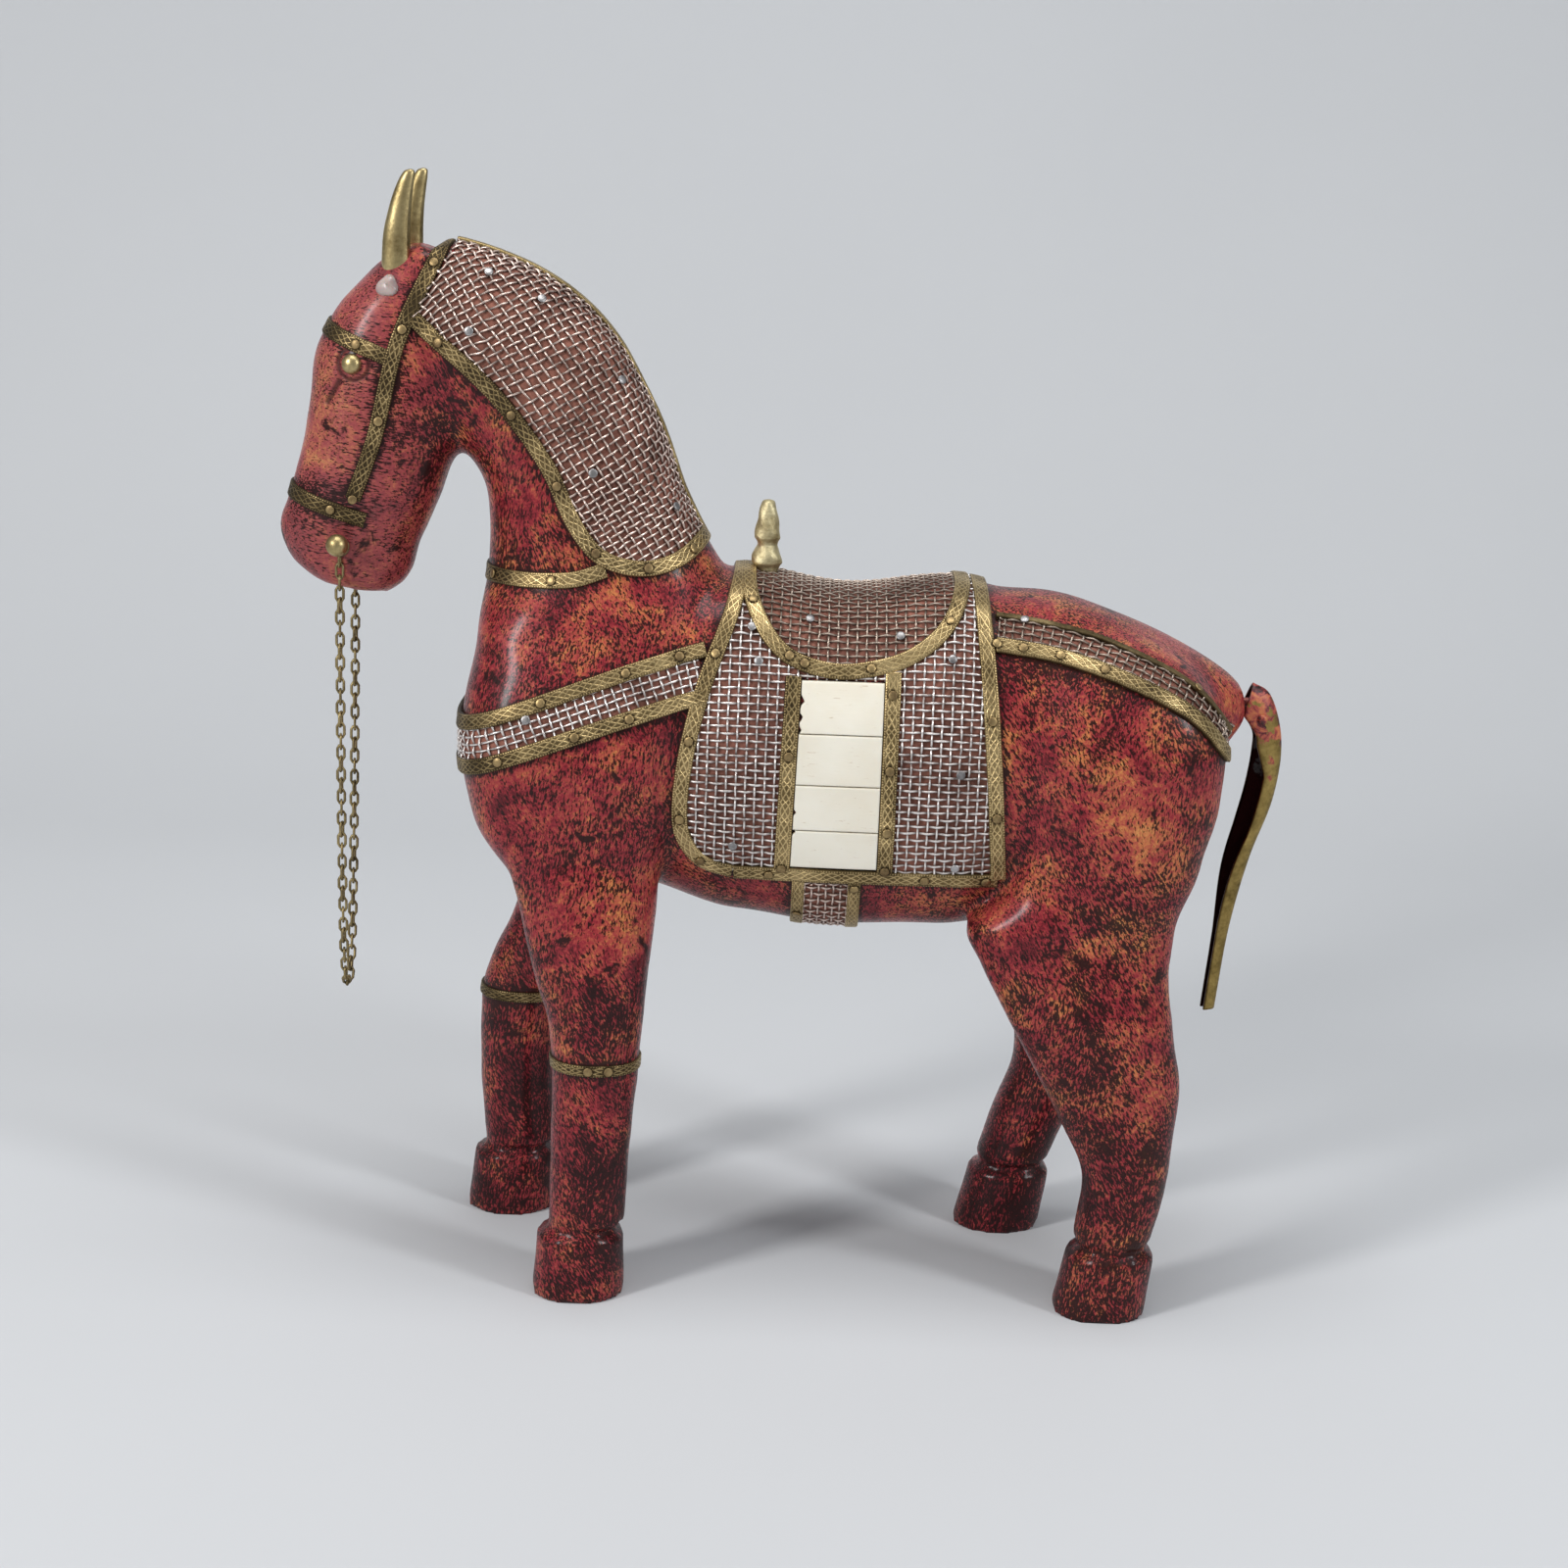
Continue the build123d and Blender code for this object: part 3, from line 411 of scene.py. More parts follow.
lacquer = lacquerFinish()
stampedBrass = stripFinish()
castBrass = castFinish("castBrass", (0.19, 0.14, 0.058), (0.66, 0.53, 0.27), 0.30)
paleBrass = castFinish("paleCastBrass", (0.30, 0.235, 0.11), (0.80, 0.72, 0.46), 0.46, pits=1.0)
agedRim = castFinish("agedRim", (0.05, 0.036, 0.019), (0.24, 0.18, 0.09), 0.5)
rimBrass = castFinish("plainRimBrass", (0.15, 0.105, 0.045), (0.52, 0.39, 0.18), 0.34)
chainBrass = castFinish("agedChainBrass", (0.10, 0.075, 0.038), (0.48, 0.38, 0.19), 0.34)
tackBrass = castFinish("tackBrass", (0.13, 0.085, 0.045), (0.52, 0.38, 0.18), 0.34)
nailSteel = castFinish("nailSteel", (0.16, 0.15, 0.15), (0.52, 0.51, 0.51), 0.30)
tailBrass = tailFinish()
flapWire = wireFinish("brightClothWire", (0.17, 0.125, 0.11), (0.95, 0.90, 0.87))
maneWire = wireFinish("rustyClothWire", (0.08, 0.052, 0.042), (0.82, 0.66, 0.58))
seatWire = wireFinish("brownClothWire", (0.075, 0.052, 0.038), (0.46, 0.37, 0.305))
backing = backingFinish()
bone = boneFinish()
glue = glueFinish()
print("finishes ready")


# carved wood: every block is a loft of rounded rings, melted together and rubbed smooth
woodSet = {
    "barrel": [  # x, underside, ridge, half width
        (-60, 6, 92, 34), (-38, -2, 94, 37), (-13, -9, 97.5, 39), (17, -12.5, 93, 39),
        (50, -11.5, 96.5, 39), (63, -9.5, 94.3, 38), (80, -1, 94.2, 37), (105, 13, 86.6, 33),
        (125, 33, 77.8, 24), (137, 49, 71.5, 13), (143, 56, 67, 7)],
    "forehand": [  # height, front x, rear x, half width
        (2, -80, -38, 38), (8, -87, -34, 41), (22, -96, -30, 43), (40, -99.5, -28, 44), (57, -99, -24, 42),
        (76, -95.5, -20, 35)],
    "neck": [  # throat x and height, crest x and height, half width
        (-93.5, 95, -21, 98, 27), (-93.2, 101, -27, 107.5, 26.2), (-93, 109, -33.5, 119, 25),
        (-94, 119, -44, 145, 23), (-97, 126, -60, 171, 21), (-100, 129, -83, 187, 19.5),
        (-104, 134, -105, 193.5, 18.5), (-110, 142, -112, 187, 16)],
    "head": [  # jaw x and height, face x and height, half width
        (-101, 186, -116, 193, 10), (-97, 171, -129, 185, 14.5), (-96, 157, -141, 171, 17.5),
        (-98, 146, -146.5, 159, 18), (-103, 131, -148.5, 142, 18), (-107.5, 119, -151.5, 126.5, 17),
        (-112, 108, -155, 114.5, 15.5), (-115.5, 99, -157.5, 105.5, 14), (-118.5, 91, -154.5, 97, 13),
        (-124, 86.3, -146.5, 90, 10.5)],
    "foreLeg": [  # height, x, half length, y, half width, share of the stride on the far side
        (24, -56.7, 12, 34, 11.5, 0.97), (49, -56, 12.4, 34, 11.8, 1.05), (74, -55, 13.4, 34, 12.5, 1.05),
        (87, -55.2, 14.4, 34, 13.1, 0.9), (102, -56.8, 17.2, 33.5, 13.5, 0.5),
        (128, -59, 21.8, 30.5, 13.5, 0.05), (138, -60.5, 23, 29, 13.7, 0), (156, -60.5, 24, 26, 13.5, 0)],
    "hindLeg": [
        (24, 108, 12, 34, 11.5, 0.95), (44, 110.8, 13.2, 34, 12, 0.8), (59, 108, 16.8, 34, 12.5, 0.4),
        (74, 104.5, 21.3, 34, 13.5, 0.15), (90, 98.5, 24.5, 34, 14, 0), (112, 91, 29, 32.5, 13.3, 0),
        (122, 89, 32, 30.5, 14.5, 0), (134, 96, 28.5, 29, 16, 0), (144, 99.5, 28.5, 28, 17.2, 0),
        (162, 101, 31.5, 26.5, 18.8, 0), (181, 101.5, 32, 25.5, 19, 0), (200, 98.5, 28, 22.5, 16.5, 0),
        (212, 90, 18, 15.5, 11.5, 0)],
    "foreHoof": [(0, -59, 14.5, 34, 13.5, 1), (20, -58.5, 13.5, 34, 12.5, 0.97)],
    "hindHoof": [(0, 105, 14.5, 34, 13.5, 1), (20, 108, 13.5, 34, 12.5, 0.97)],
    "foreGroove": [(18, -58.5, 10.4, 34, 9.9, 0.97), (26, -58, 10.4, 34, 9.9, 0.96)],
    "hindGroove": [(18, 108, 10.4, 34, 9.9, 0.97), (26, 108, 10.4, 34, 9.9, 0.95)],
    "rings": {
        "foreLeg": 70, "hindLeg": 80, "foreHoof": 6, "hindHoof": 6, "foreGroove": 3, "hindGroove": 3},
    "fullness": {"barrel": 2.5, "forehand": 3.6, "seam": 2.3, "neck": 2.2, "head": 2.3, "leg": 2.2},
    "stride": 28, "voxel": 1.5, "rub": 0.55, "rubBack": -0.5, "rubs": 26, "hoofTop": 30, "hoofRub": 0.35,
    "throat": {"x": -102.5, "height": 128.5, "reach": 7, "rubs": 45},
    "croup": {"x": 64, "xFade": 14, "height": 52, "zFade": 12, "rubs": 34},
    "knife": 0.045, "sole": 0.7, "hollow": 1.8, "hollowRubs": 8}


def loftShell(rows, rings, cuts=64):
    # ring: centre + long axis * |cos|^(2/f) + half width * |sin|^(2/f)
    # row: x, y, z, long axis x and z, half width, fullness f
    row = smoothRows(rows, rings)[:, None, :]
    turn = np.arange(cuts) * 2 * np.pi / cuts
    power = 2 / row[:, :, 6]
    along = np.sign(np.cos(turn)) * np.abs(np.cos(turn)) ** power
    across = np.sign(np.sin(turn)) * np.abs(np.sin(turn)) ** power
    x = row[:, :, 0] + row[:, :, 3] * along
    y = row[:, :, 1] + row[:, :, 5] * across
    z = row[:, :, 2] + row[:, :, 4] * along
    return np.stack([x, y, z], -1), tubeFaces(rings, cuts)


def slantRow(low, high, halfWidth, fullness):
    x, z = (low[0] + high[0]) / 2, elbow + (low[1] + high[1]) / 2
    return (x, 0, z, (high[0] - low[0]) / 2, (high[1] - low[1]) / 2, halfWidth, fullness)


def woodShells():
    full = woodSet["fullness"]
    barrel = [slantRow((x, low), (x, high), half, full["barrel"]) for x, low, high, half in woodSet["barrel"]]
    forehand = [
        slantRow((front, z), (rear, z), half, full["forehand"])
        for z, front, rear, half in woodSet["forehand"]]
    neck = [slantRow(row[:2], row[2:4], row[4], full["neck"]) for row in woodSet["neck"]]
    head = [slantRow(row[:2], row[2:4], row[4], full["head"]) for row in woodSet["head"]]
    forehand.append((*neck[0][:6], full["seam"]))
    shells = [loftShell(rows, 90) for rows in (barrel, forehand, neck, head)]
    for side in (near, far):
        swing = woodSet["stride"] if side == far else 0
        for name, rings in woodSet["rings"].items():
            rows = [(x - swing * share, side * y, z, halfLong, 0, halfWide, full["leg"])
                    for z, x, halfLong, y, halfWide, share in woodSet[name]]
            shells.append(loftShell(rows, rings))
    return joinShells(shells)


def melt(points, quads, voxel):
    mesh = bpy.data.meshes.new("melting")
    mesh.from_pydata(points.tolist(), [], quads.tolist())
    turnOutward(mesh)
    block = bpy.data.objects.new("melting", mesh)
    bpy.context.scene.collection.objects.link(block)
    remesh = block.modifiers.new("melt", "REMESH")
    remesh.mode = "VOXEL"
    remesh.voxel_size = voxel
    solved = block.evaluated_get(bpy.context.evaluated_depsgraph_get())
    done = bpy.data.meshes.new_from_object(solved)
    points = np.zeros(len(done.vertices) * 3)
    done.vertices.foreach_get("co", points)
    quads = np.zeros(len(done.polygons) * 4, int)
    done.loops.foreach_get("vertex_index", quads)
    bpy.data.objects.remove(block)
    bpy.data.meshes.remove(mesh)
    bpy.data.meshes.remove(done)
    return points.reshape(-1, 3), quads.reshape(-1, 4)


def vertexNormals(points, quads):
    # the cross products of the diagonals of the quads at each point, added up
    cross = np.cross(points[quads[:, 2]] - points[quads[:, 0]], points[quads[:, 3]] - points[quads[:, 1]])
    sums = [np.bincount(quads.ravel(), np.repeat(cross[:, axis], 4), len(points)) for axis in range(3)]
    return unit(np.stack(sums, -1))


def rubSmooth(points, quads, rounds, share, back=woodSet["rubBack"]):
    # each point goes part of the way to the mean of its neighbours, then a little less back, to keep its size
    # a positive back goes on towards the mean, which wears the form down
    edges = np.concatenate([quads[:, [0, 1]], quads[:, [1, 2]], quads[:, [2, 3]], quads[:, [3, 0]]])
    count = np.bincount(edges.ravel(), minlength=len(points))[:, None]
    for index in range(2 * rounds):
        sums = [
            np.bincount(edges[:, 0], points[edges[:, 1], axis], len(points))
            + np.bincount(edges[:, 1], points[edges[:, 0], axis], len(points)) for axis in range(3)]
        mean = np.stack(sums, -1) / count
        points = points + (mean - points) * (back if index % 2 else woodSet["rub"]) * share
    return points


def lineDistance(x, z, line):
    # shortest way from each point to a side-view line
    best = np.full(len(x), 1e9)
    for (ax, az), (bx, bz) in zip(line[:-1], line[1:]):
        t = np.clip(((x - ax) * (bx - ax) + (z - az) * (bz - az)) / ((bx - ax) ** 2 + (bz - az) ** 2), 0, 1)
        best = np.minimum(best, np.hypot(x - ax - t * (bx - ax), z - az - t * (bz - az)))
    return best


# knife cuts on each cheek: line in the side view, half width, depth
cutSet = [
    ([(-137.5, 157), (-136, 160.6), (-132, 161.6), (-128, 159), (-126.3, 157.2)], 0.6, 0.55),
    ([(-137.5, 157), (-136, 153), (-132, 152), (-128.5, 154), (-126.3, 157.2)], 0.6, 0.55),
    ([(-136.5, 152), (-139, 148.5), (-140.5, 145)], 0.75, 0.8)]

points, quads = melt(*woodShells(), woodSet["voxel"])
share = np.where(points[:, 2:] < woodSet["hoofTop"], woodSet["hoofRub"], 1.0)  # hooves keep their edges
points = rubSmooth(points, quads, woodSet["rubs"], share)
arch, croup, rasp = woodSet["throat"], woodSet["croup"], woodSet["rub"]
away = np.hypot(points[:, 0] - arch["x"], points[:, 2] - elbow - arch["height"])
share = np.exp(-(away / arch["reach"]) ** 2)
points = rubSmooth(points, quads, arch["rubs"], share[:, None], back=rasp)  # the rasped arch of the throat
share = (np.clip((points[:, 0] - croup["x"]) / croup["xFade"], 0, 1)
         * np.clip((points[:, 2] - elbow - croup["height"]) / croup["zFade"], 0, 1))
points = rubSmooth(points, quads, croup["rubs"], share[:, None], back=rasp)  # the rounded croup
normals = vertexNormals(points, quads)
waves = rng.normal(size=(9, 3)) / rng.uniform(5, 12, (9, 1))
phases = rng.uniform(0, 6.28, 9)
uneven = np.sin(points @ waves.T + phases).sum(1) * woodSet["knife"]  # low waves left by the knife
points = points + normals * uneven[:, None]
flank = np.abs(normals[:, 1]) > 0.3
for line, width, depth in cutSet:
    away = lineDistance(points[:, 0], points[:, 2] - elbow, line)
    points = points - normals * (depth * np.exp(-(away / width) ** 2) * flank)[:, None]
points[:, 2] = np.where(points[:, 2] < woodSet["sole"], 0, points[:, 2])
woodNodes = ("trunk", "neck_and_head", "fore_leg_left", "fore_leg_right", "hind_leg_left", "hind_leg_right")
carvedWood = newPiece("carvedWood", points, quads, lacquer, slot="lacquered_wood", stands=woodNodes)
woodTree = BVHTree.FromPolygons(points.tolist(), quads.tolist())
worn = rubSmooth(points, quads, woodSet["hollowRubs"], np.ones((len(points), 1)), back=rasp)
hollow = np.clip(((worn - points) * normals).sum(1) / woodSet["hollow"], 0, 1)  # how far a rub raises it: the painted shade of the hollows
print("wood carved", len(quads), "faces")


def castRays(starts, ways):
    # first meeting of each ray with the wood, not a number where it misses
    rays = zip(starts.tolist(), ways.tolist())
    hits = [woodTree.ray_cast(Vector(start), Vector(way)) for start, way in rays]
    found = np.array([(*hit[0], *hit[1]) if hit[0] else (np.nan,) * 6 for hit in hits])
    return found[:, :3], found[:, 3:]


def blur(values, width, closed=False):
    # running mean along the first axis
    values = np.asarray(values, float)
    pad = [(width, width)] + [(0, 0)] * (values.ndim - 1)
    padded = np.pad(values, pad, mode="wrap" if closed else "edge")
    total = np.cumsum(np.concatenate([np.zeros_like(padded[:1]), padded]), axis=0)
    span = 2 * width + 1
    return (total[span:] - total[:-span]) / span


def evenSteps(path, step, closed=False):
    # the same path with points an equal way apart
    path = np.concatenate([path, path[:1]]) if closed else path
    run = pathRun(path)
    count = max(4, int(round(run[-1] / step)) + (0 if closed else 1))
    at = np.linspace(0, run[-1], count, endpoint=not closed)
    return np.stack([np.interp(at, run, path[:, axis]) for axis in range(3)], -1), run[-1]


def flankRays(x, height, side=near, outside=90.0):
    # where rays square to the flank meet the wood, and the way out there
    starts = np.stack([x, np.full(x.shape, side * outside), height + elbow], -1).reshape(-1, 3)
    return castRays(starts, np.tile([0.0, -side, 0.0], (len(starts), 1)))


def sidePath(line, samples=1500):
    # where a smooth side-view line lies on the near flank
    flat = smoothRows(line, samples, monotone=False)
    hits, _ = flankRays(flat[:, 0], flat[:, 1])
    hits = hits[~np.isnan(hits[:, 0])]
    return hits[np.sign(hits[:, 1]) == near]


def overTop(path, atEnd):
    # the same line on both flanks as one path: joined at its last point, or else at its first
    other = path[::-1] * (1, -1, 1)
    return np.concatenate([path, other]) if atEnd else np.concatenate([other, path])


def ribbonFrame(path, step, closed=False, outBlur=2.5, wayBlur=1.2):
    # centre line on the wood, with its direction, the way out and the way across
    centre, length = evenSteps(path, step, closed)
    centre = blur(centre, 2, closed)
    nearest = [woodTree.find_nearest(Vector(point)) for point in centre.tolist()]
    centre = blur(np.array([tuple(hit[0]) for hit in nearest]), 2, closed)
    out = unit(blur(np.array([tuple(hit[1]) for hit in nearest]), max(2, int(outBlur / step)), closed))
    if closed:
        way = unit(np.roll(centre, -1, 0) - np.roll(centre, 1, 0))
    else:
        way = unit(np.gradient(centre, axis=0))
    way = unit(blur(way, max(1, int(wayBlur / step)), closed))
    across = unit(np.cross(out, way))
    out = unit(np.cross(way, across))
    return {"centre": centre, "out": out, "across": across, "length": length, "closed": closed}


def ribbonSheet(ribbon, offsets, start=9, reach=4):
    # for each offset across, the wood under the ribbon's own plane, or that plane where no wood is in reach
    rows = []
    for offset in offsets:
        flat = ribbon["centre"] + ribbon["across"] * offset
        hits, _ = castRays(flat + ribbon["out"] * start, -ribbon["out"])
        lost = np.isnan(hits[:, 0]) | (np.linalg.norm(hits - flat, axis=1) > reach)
        hits = np.where(lost[:, None], flat, hits)
        rows.append(blur(hits, 3, ribbon["closed"]))
    return np.stack(rows, 1)


# strips of brass: 11 points over the top, with rounded edges and raised stamping, and three under it
stripSet = {"width": 4.8, "thickness": 0.6, "step": 0.5, "stamp": 5.6, "relief": 0.07, "under": 0.9,
            "wander": 0.12, "bare": 0.12, "lined": 1.05}
stripTop = np.array([-1, -0.94, -0.82, -0.62, -0.34, 0, 0.34, 0.62, 0.82, 0.94, 1])
stripProfile = np.concatenate([stripTop, [1, 0, -1]])


def stripShell(path, lift, width=stripSet["width"], closed=False):
    # height over the wood = lift + thickness with rounded edges + stamped leaves and raised rims
    ribbon = ribbonFrame(path, stripSet["step"], closed)
    base = ribbonSheet(ribbon, stripProfile * width / 2)
    count = len(base)
    run = np.linspace(0, ribbon["length"], count, endpoint=not closed)[:, None]
    cell = np.abs((run / stripSet["stamp"]) % 1 - 0.5) * 2
    wide = np.abs(stripTop)[None, :]
    leaf = np.exp(-((wide - 0.6 * (1 - cell ** 2)) / 0.16) ** 2) * (wide < 0.72)
    rim = (wide > 0.75) * (wide < 0.9) * 0.8
    top = lift + stripSet["thickness"] * (1 - 0.45 * wide ** 12) + stripSet["relief"] * (leaf + rim)
    under = np.full((count, 3), lift - stripSet["under"])
    height = np.concatenate([top, under], 1)
    wander = blur(rng.normal(0, 1, (count, 1)), 20, closed) * stripSet["wander"]
    points = base + ribbon["out"][:, None, :] * (height + wander)[..., None]
    stripLines.append(np.concatenate([points[:, len(stripTop) // 2], ribbon["out"]], 1))
    uv = np.stack([np.broadcast_to(run / stripSet["stamp"], height.shape),
                   np.broadcast_to(stripProfile / 2 + 0.5, height.shape)], -1)
    return points.reshape(-1, 3), tubeFaces(count, len(stripProfile), closed), uv.reshape(-1, 2)


def newStrips(name, shells, node, finish=stampedBrass):
    points, quads = joinShells([shell[:2] for shell in shells])
    uv = np.concatenate([shell[2] for shell in shells])
    stripPieces.append(newPiece(name, points, quads, finish, slot="brass_strip", stands=[node], uv=uv))
    stripShells.append((points, quads))


lineSet = {  # side-view lines on the near flank: x and height over the elbow
    "cheek": [(-102, 203), (-107.5, 191), (-119, 165), (-126.5, 134), (-133, 116)],
    "brow": [(-152, 172), (-141, 166.5), (-121.5, 159)],
    "nose": [(-162, 121.5), (-150, 116.5), (-128.5, 110)],
    "collar": [(-104, 94), (-93.5, 95), (-77, 95.4), (-64, 96.8), (-55, 100.2)],
    "mane": [(-115.5, 171.5), (-91, 151), (-74, 130), (-64, 111), (-57, 103.5), (-44, 100.3), (-33, 103.5),
             (-22, 115)],
    "chest": [(-106, 43.5), (-99, 45), (-75, 54), (-59, 60), (-45, 65), (-24, 71.5)],
    "front": [(-13, 108), (-17, 90), (-25, 67), (-30.5, 39), (-30, 22), (-24, 13.5), (-14, 10.5)],
    "rear": [(66, 10.5), (63, 43), (60, 71), (57.5, 92), (56, 108)],
    "seat": [(-14.5, 108), (-12, 92), (-2, 78), (13, 73), (25, 74), (37, 78), (47, 86), (52, 96),
             (53.5, 108)],
    "bottom": [(-15, 10.5), (20, 10.5), (66.5, 10.5)],
    "tileFront": [(0.2, 12), (0.9, 42), (1.6, 72)],
    "tileRear": [(31.4, 12), (31.4, 43), (31.4, 74)],
    "crupper": [(61, 84.3), (80, 82), (101, 76.5), (122, 66), (136, 50)],
    "crest": [(-104.5, 193.5), (-83, 187), (-60, 171), (-44, 145), (-33.5, 119), (-27, 107.5)]}
stripPieces, stripShells, stripLines = [], [], []  # pieces, their shells, each middle line with its way out


def raised(line, rise):
    return [(x, z + rise) for x, z in line]


def girthPath(x, top=9, low=-14):
    return overTop(sidePath([(x, top), (x, (top + low) / 2), (x, low)]), True)


def bothSides(paths):
    return [path * (1, flip, 1) for path in paths for flip in (1, -1)]


chestSet = {"width": 15.6, "rise": 6.6}
bare, lined = stripSet["bare"], stripSet["lined"]
for name, node, line, rise, atEnd, lift in (
        ("cheekStrap", "cheek_strap", "cheek", 0, False, bare + 0.25),
        ("browBand", "brow_band", "brow", 0, False, bare),
        ("noseBand", "nose_band", "nose", 0, False, bare),
        ("neckCollar", "neck_collar", "collar", 0, False, bare),
        ("maneEdge", "mane_edge", "mane", 0, True, lined - 0.2),
        ("chestStrapUpper", "chest_strap_upper_strip", "chest", chestSet["rise"], False, lined),
        ("chestStrapLower", "chest_strap_lower_strip", "chest", -chestSet["rise"], False, lined),
        ("saddleFrontStrip", "saddle_front_strip", "front", 0, False, lined),
        ("saddleRearStrip", "saddle_rear_strip", "rear", 0, True, lined),
        ("seatEdge", "seat_edge", "seat", 0, True, lined + 0.2)):
    path = overTop(sidePath(raised(lineSet[line], rise)), atEnd)
    newStrips(name, [stripShell(path, lift, closed=name == "seatEdge")], node)
for name, node, lines, lift in (
        ("saddleBottomStrips", "saddle_bottom_strips", ["bottom"], lined - 0.05),
        ("tileSideStrips", "tile_side_strips", ["tileFront", "tileRear"], lined - 0.1)):
    paths = bothSides([sidePath(lineSet[line]) for line in lines])
    newStrips(name, [stripShell(path, lift) for path in paths], node)
girthSet = {"front": 5.5, "middle": 14, "rear": 22.5, "strip": 4.0, "width": 17.0}
for x, name, node in (
        (girthSet["front"], "girthFrontStrip", "girth_front_strip"),
        (girthSet["rear"], "girthRearStrip", "girth_rear_strip")):
    newStrips(name, [stripShell(girthPath(x), lined - 0.2, width=girthSet["strip"])], node)
# rise over the crupper line and width of each, and how near the middle their ends go
crupperSet = {"cloth": (1.4, 9.2), "wide": (-2.4, 4.8), "thin": (5.0, 1.8), "stripEnd": 13, "clothEnd": 12}
for (rise, width), name, node, finish in (
        (crupperSet["wide"], "crupperWideStrips", "crupper_lower_strips", stampedBrass),
        (crupperSet["thin"], "crupperThinStrips", "crupper_upper_strips", agedRim)):
    path = sidePath(raised(lineSet["crupper"], rise))
    path = path[np.abs(path[:, 1]) > crupperSet["stripEnd"]]
    newStrips(name, [stripShell(one, lined - 0.1, width=width) for one in bothSides([path])], node, finish)
bandSet = {"x": -55, "stride": 29.4, "y": 34, "height": 76.6, "width": 3.6, "lift": 0.1, "outside": 17.5}


def ringPath(x, y, z, samples=240):
    # once round a leg at one height
    turn = np.linspace(0, 2 * np.pi, samples, endpoint=False)
    ways = np.stack([-np.cos(turn), -np.sin(turn), np.zeros(samples)], -1)
    return castRays(np.array([x, y, z]) - ways * bandSet["outside"], ways)[0]


for side, label in flanks:
    x = bandSet["x"] - (bandSet["stride"] if side == far else 0)
    path = ringPath(x, side * bandSet["y"], bandSet["height"])
    shell = stripShell(path, bandSet["lift"], width=bandSet["width"], closed=True)
    newStrips("legBand" + label.title(), [shell], "leg_band_" + label)
crestSet = {"samples": 400, "outside": 12, "width": 4.4}
ridge = smoothRows(lineSet["crest"], crestSet["samples"], monotone=False)
level = np.zeros(crestSet["samples"])
ways = unit(np.stack([np.gradient(ridge[:, 1]), level, -np.gradient(ridge[:, 0])], -1))
ridge = np.stack([ridge[:, 0], level, ridge[:, 1] + elbow], -1)
crestPath = castRays(ridge - ways * crestSet["outside"], ways)[0]
crestPath = crestPath[~np.isnan(crestPath[:, 0])]
shell = stripShell(crestPath, lined - 0.1, width=crestSet["width"])
newStrips("crestStrip", [shell], "crest_strip", rimBrass)
stripEdgeDarkSet = {"search": 5.0, "clear": 9.0, "fade": 0.9}  # the wood is darker beside the strips
stripTree = BVHTree.FromPolygons(*(part.tolist() for part in joinShells(stripShells)))
away = [stripTree.find_nearest(Vector(point), stripEdgeDarkSet["search"])[3] for point in points.tolist()]
away = np.array([stripEdgeDarkSet["clear"] if way is None else way for way in away])
# painted shade of the hollows, or the darkening beside the strips, whichever is more
addGrimeAndShade(carvedWood.data, np.maximum(np.exp(-away / stripEdgeDarkSet["fade"]), hollow))
print("strips laid", len(stripShells))


# wire cloth: a backing sheet with two families of wires that pass over and under each other
clothSet = {"upright": 2.9, "level": 2.2, "wire": 0.37, "backing": 0.25, "under": 0.4, "cell": 1.1,
            "lift": 0.74, "sway": 0.32, "stray": 0.035, "sides": 4}


def everywhere(spots):
    return np.ones(spots.shape[:-1], bool)


def newSheet(points, step, u0, v0, outward):
    # a table of surface points on even steps both ways, with the way out at each
    alongU, alongV = np.gradient(points, axis=0), np.gradient(points, axis=1)
    out = unit(np.cross(alongU, alongV))
    out = out * np.sign((out * outward).sum(-1, keepdims=True))
    return {"points": points, "out": out, "step": step, "u0": u0, "v0": v0}


def onSheet(sheet, u, v):
    # straight blend of the four nearest table points
    rows, columns = sheet["points"].shape[:2]
    i = np.clip((u - sheet["u0"]) / sheet["step"], 0, rows - 1.001)
    j = np.clip((v - sheet["v0"]) / sheet["step"], 0, columns - 1.001)
    a, b = i.astype(int), j.astype(int)
    s, t = (i - a)[..., None], (j - b)[..., None]
    blend = lambda table: ((1 - s) * (1 - t) * table[a, b] + s * (1 - t) * table[a + 1, b]
                           + (1 - s) * t * table[a, b + 1] + s * t * table[a + 1, b + 1])
    return blend(sheet["points"]), unit(blend(sheet["out"]))


def inOutline(points, outline):
    # even-odd test in the side view, heights over the elbow
    x, z = points[..., 0], points[..., 2] - elbow
    inside = np.zeros(x.shape, bool)
    for (ax, az), (bx, bz) in zip(outline, np.roll(outline, -1, 0)):
        if az != bz:
            inside ^= ((az > z) != (bz > z)) & (x < ax + (z - az) * (bx - ax) / (bz - az))
    return inside


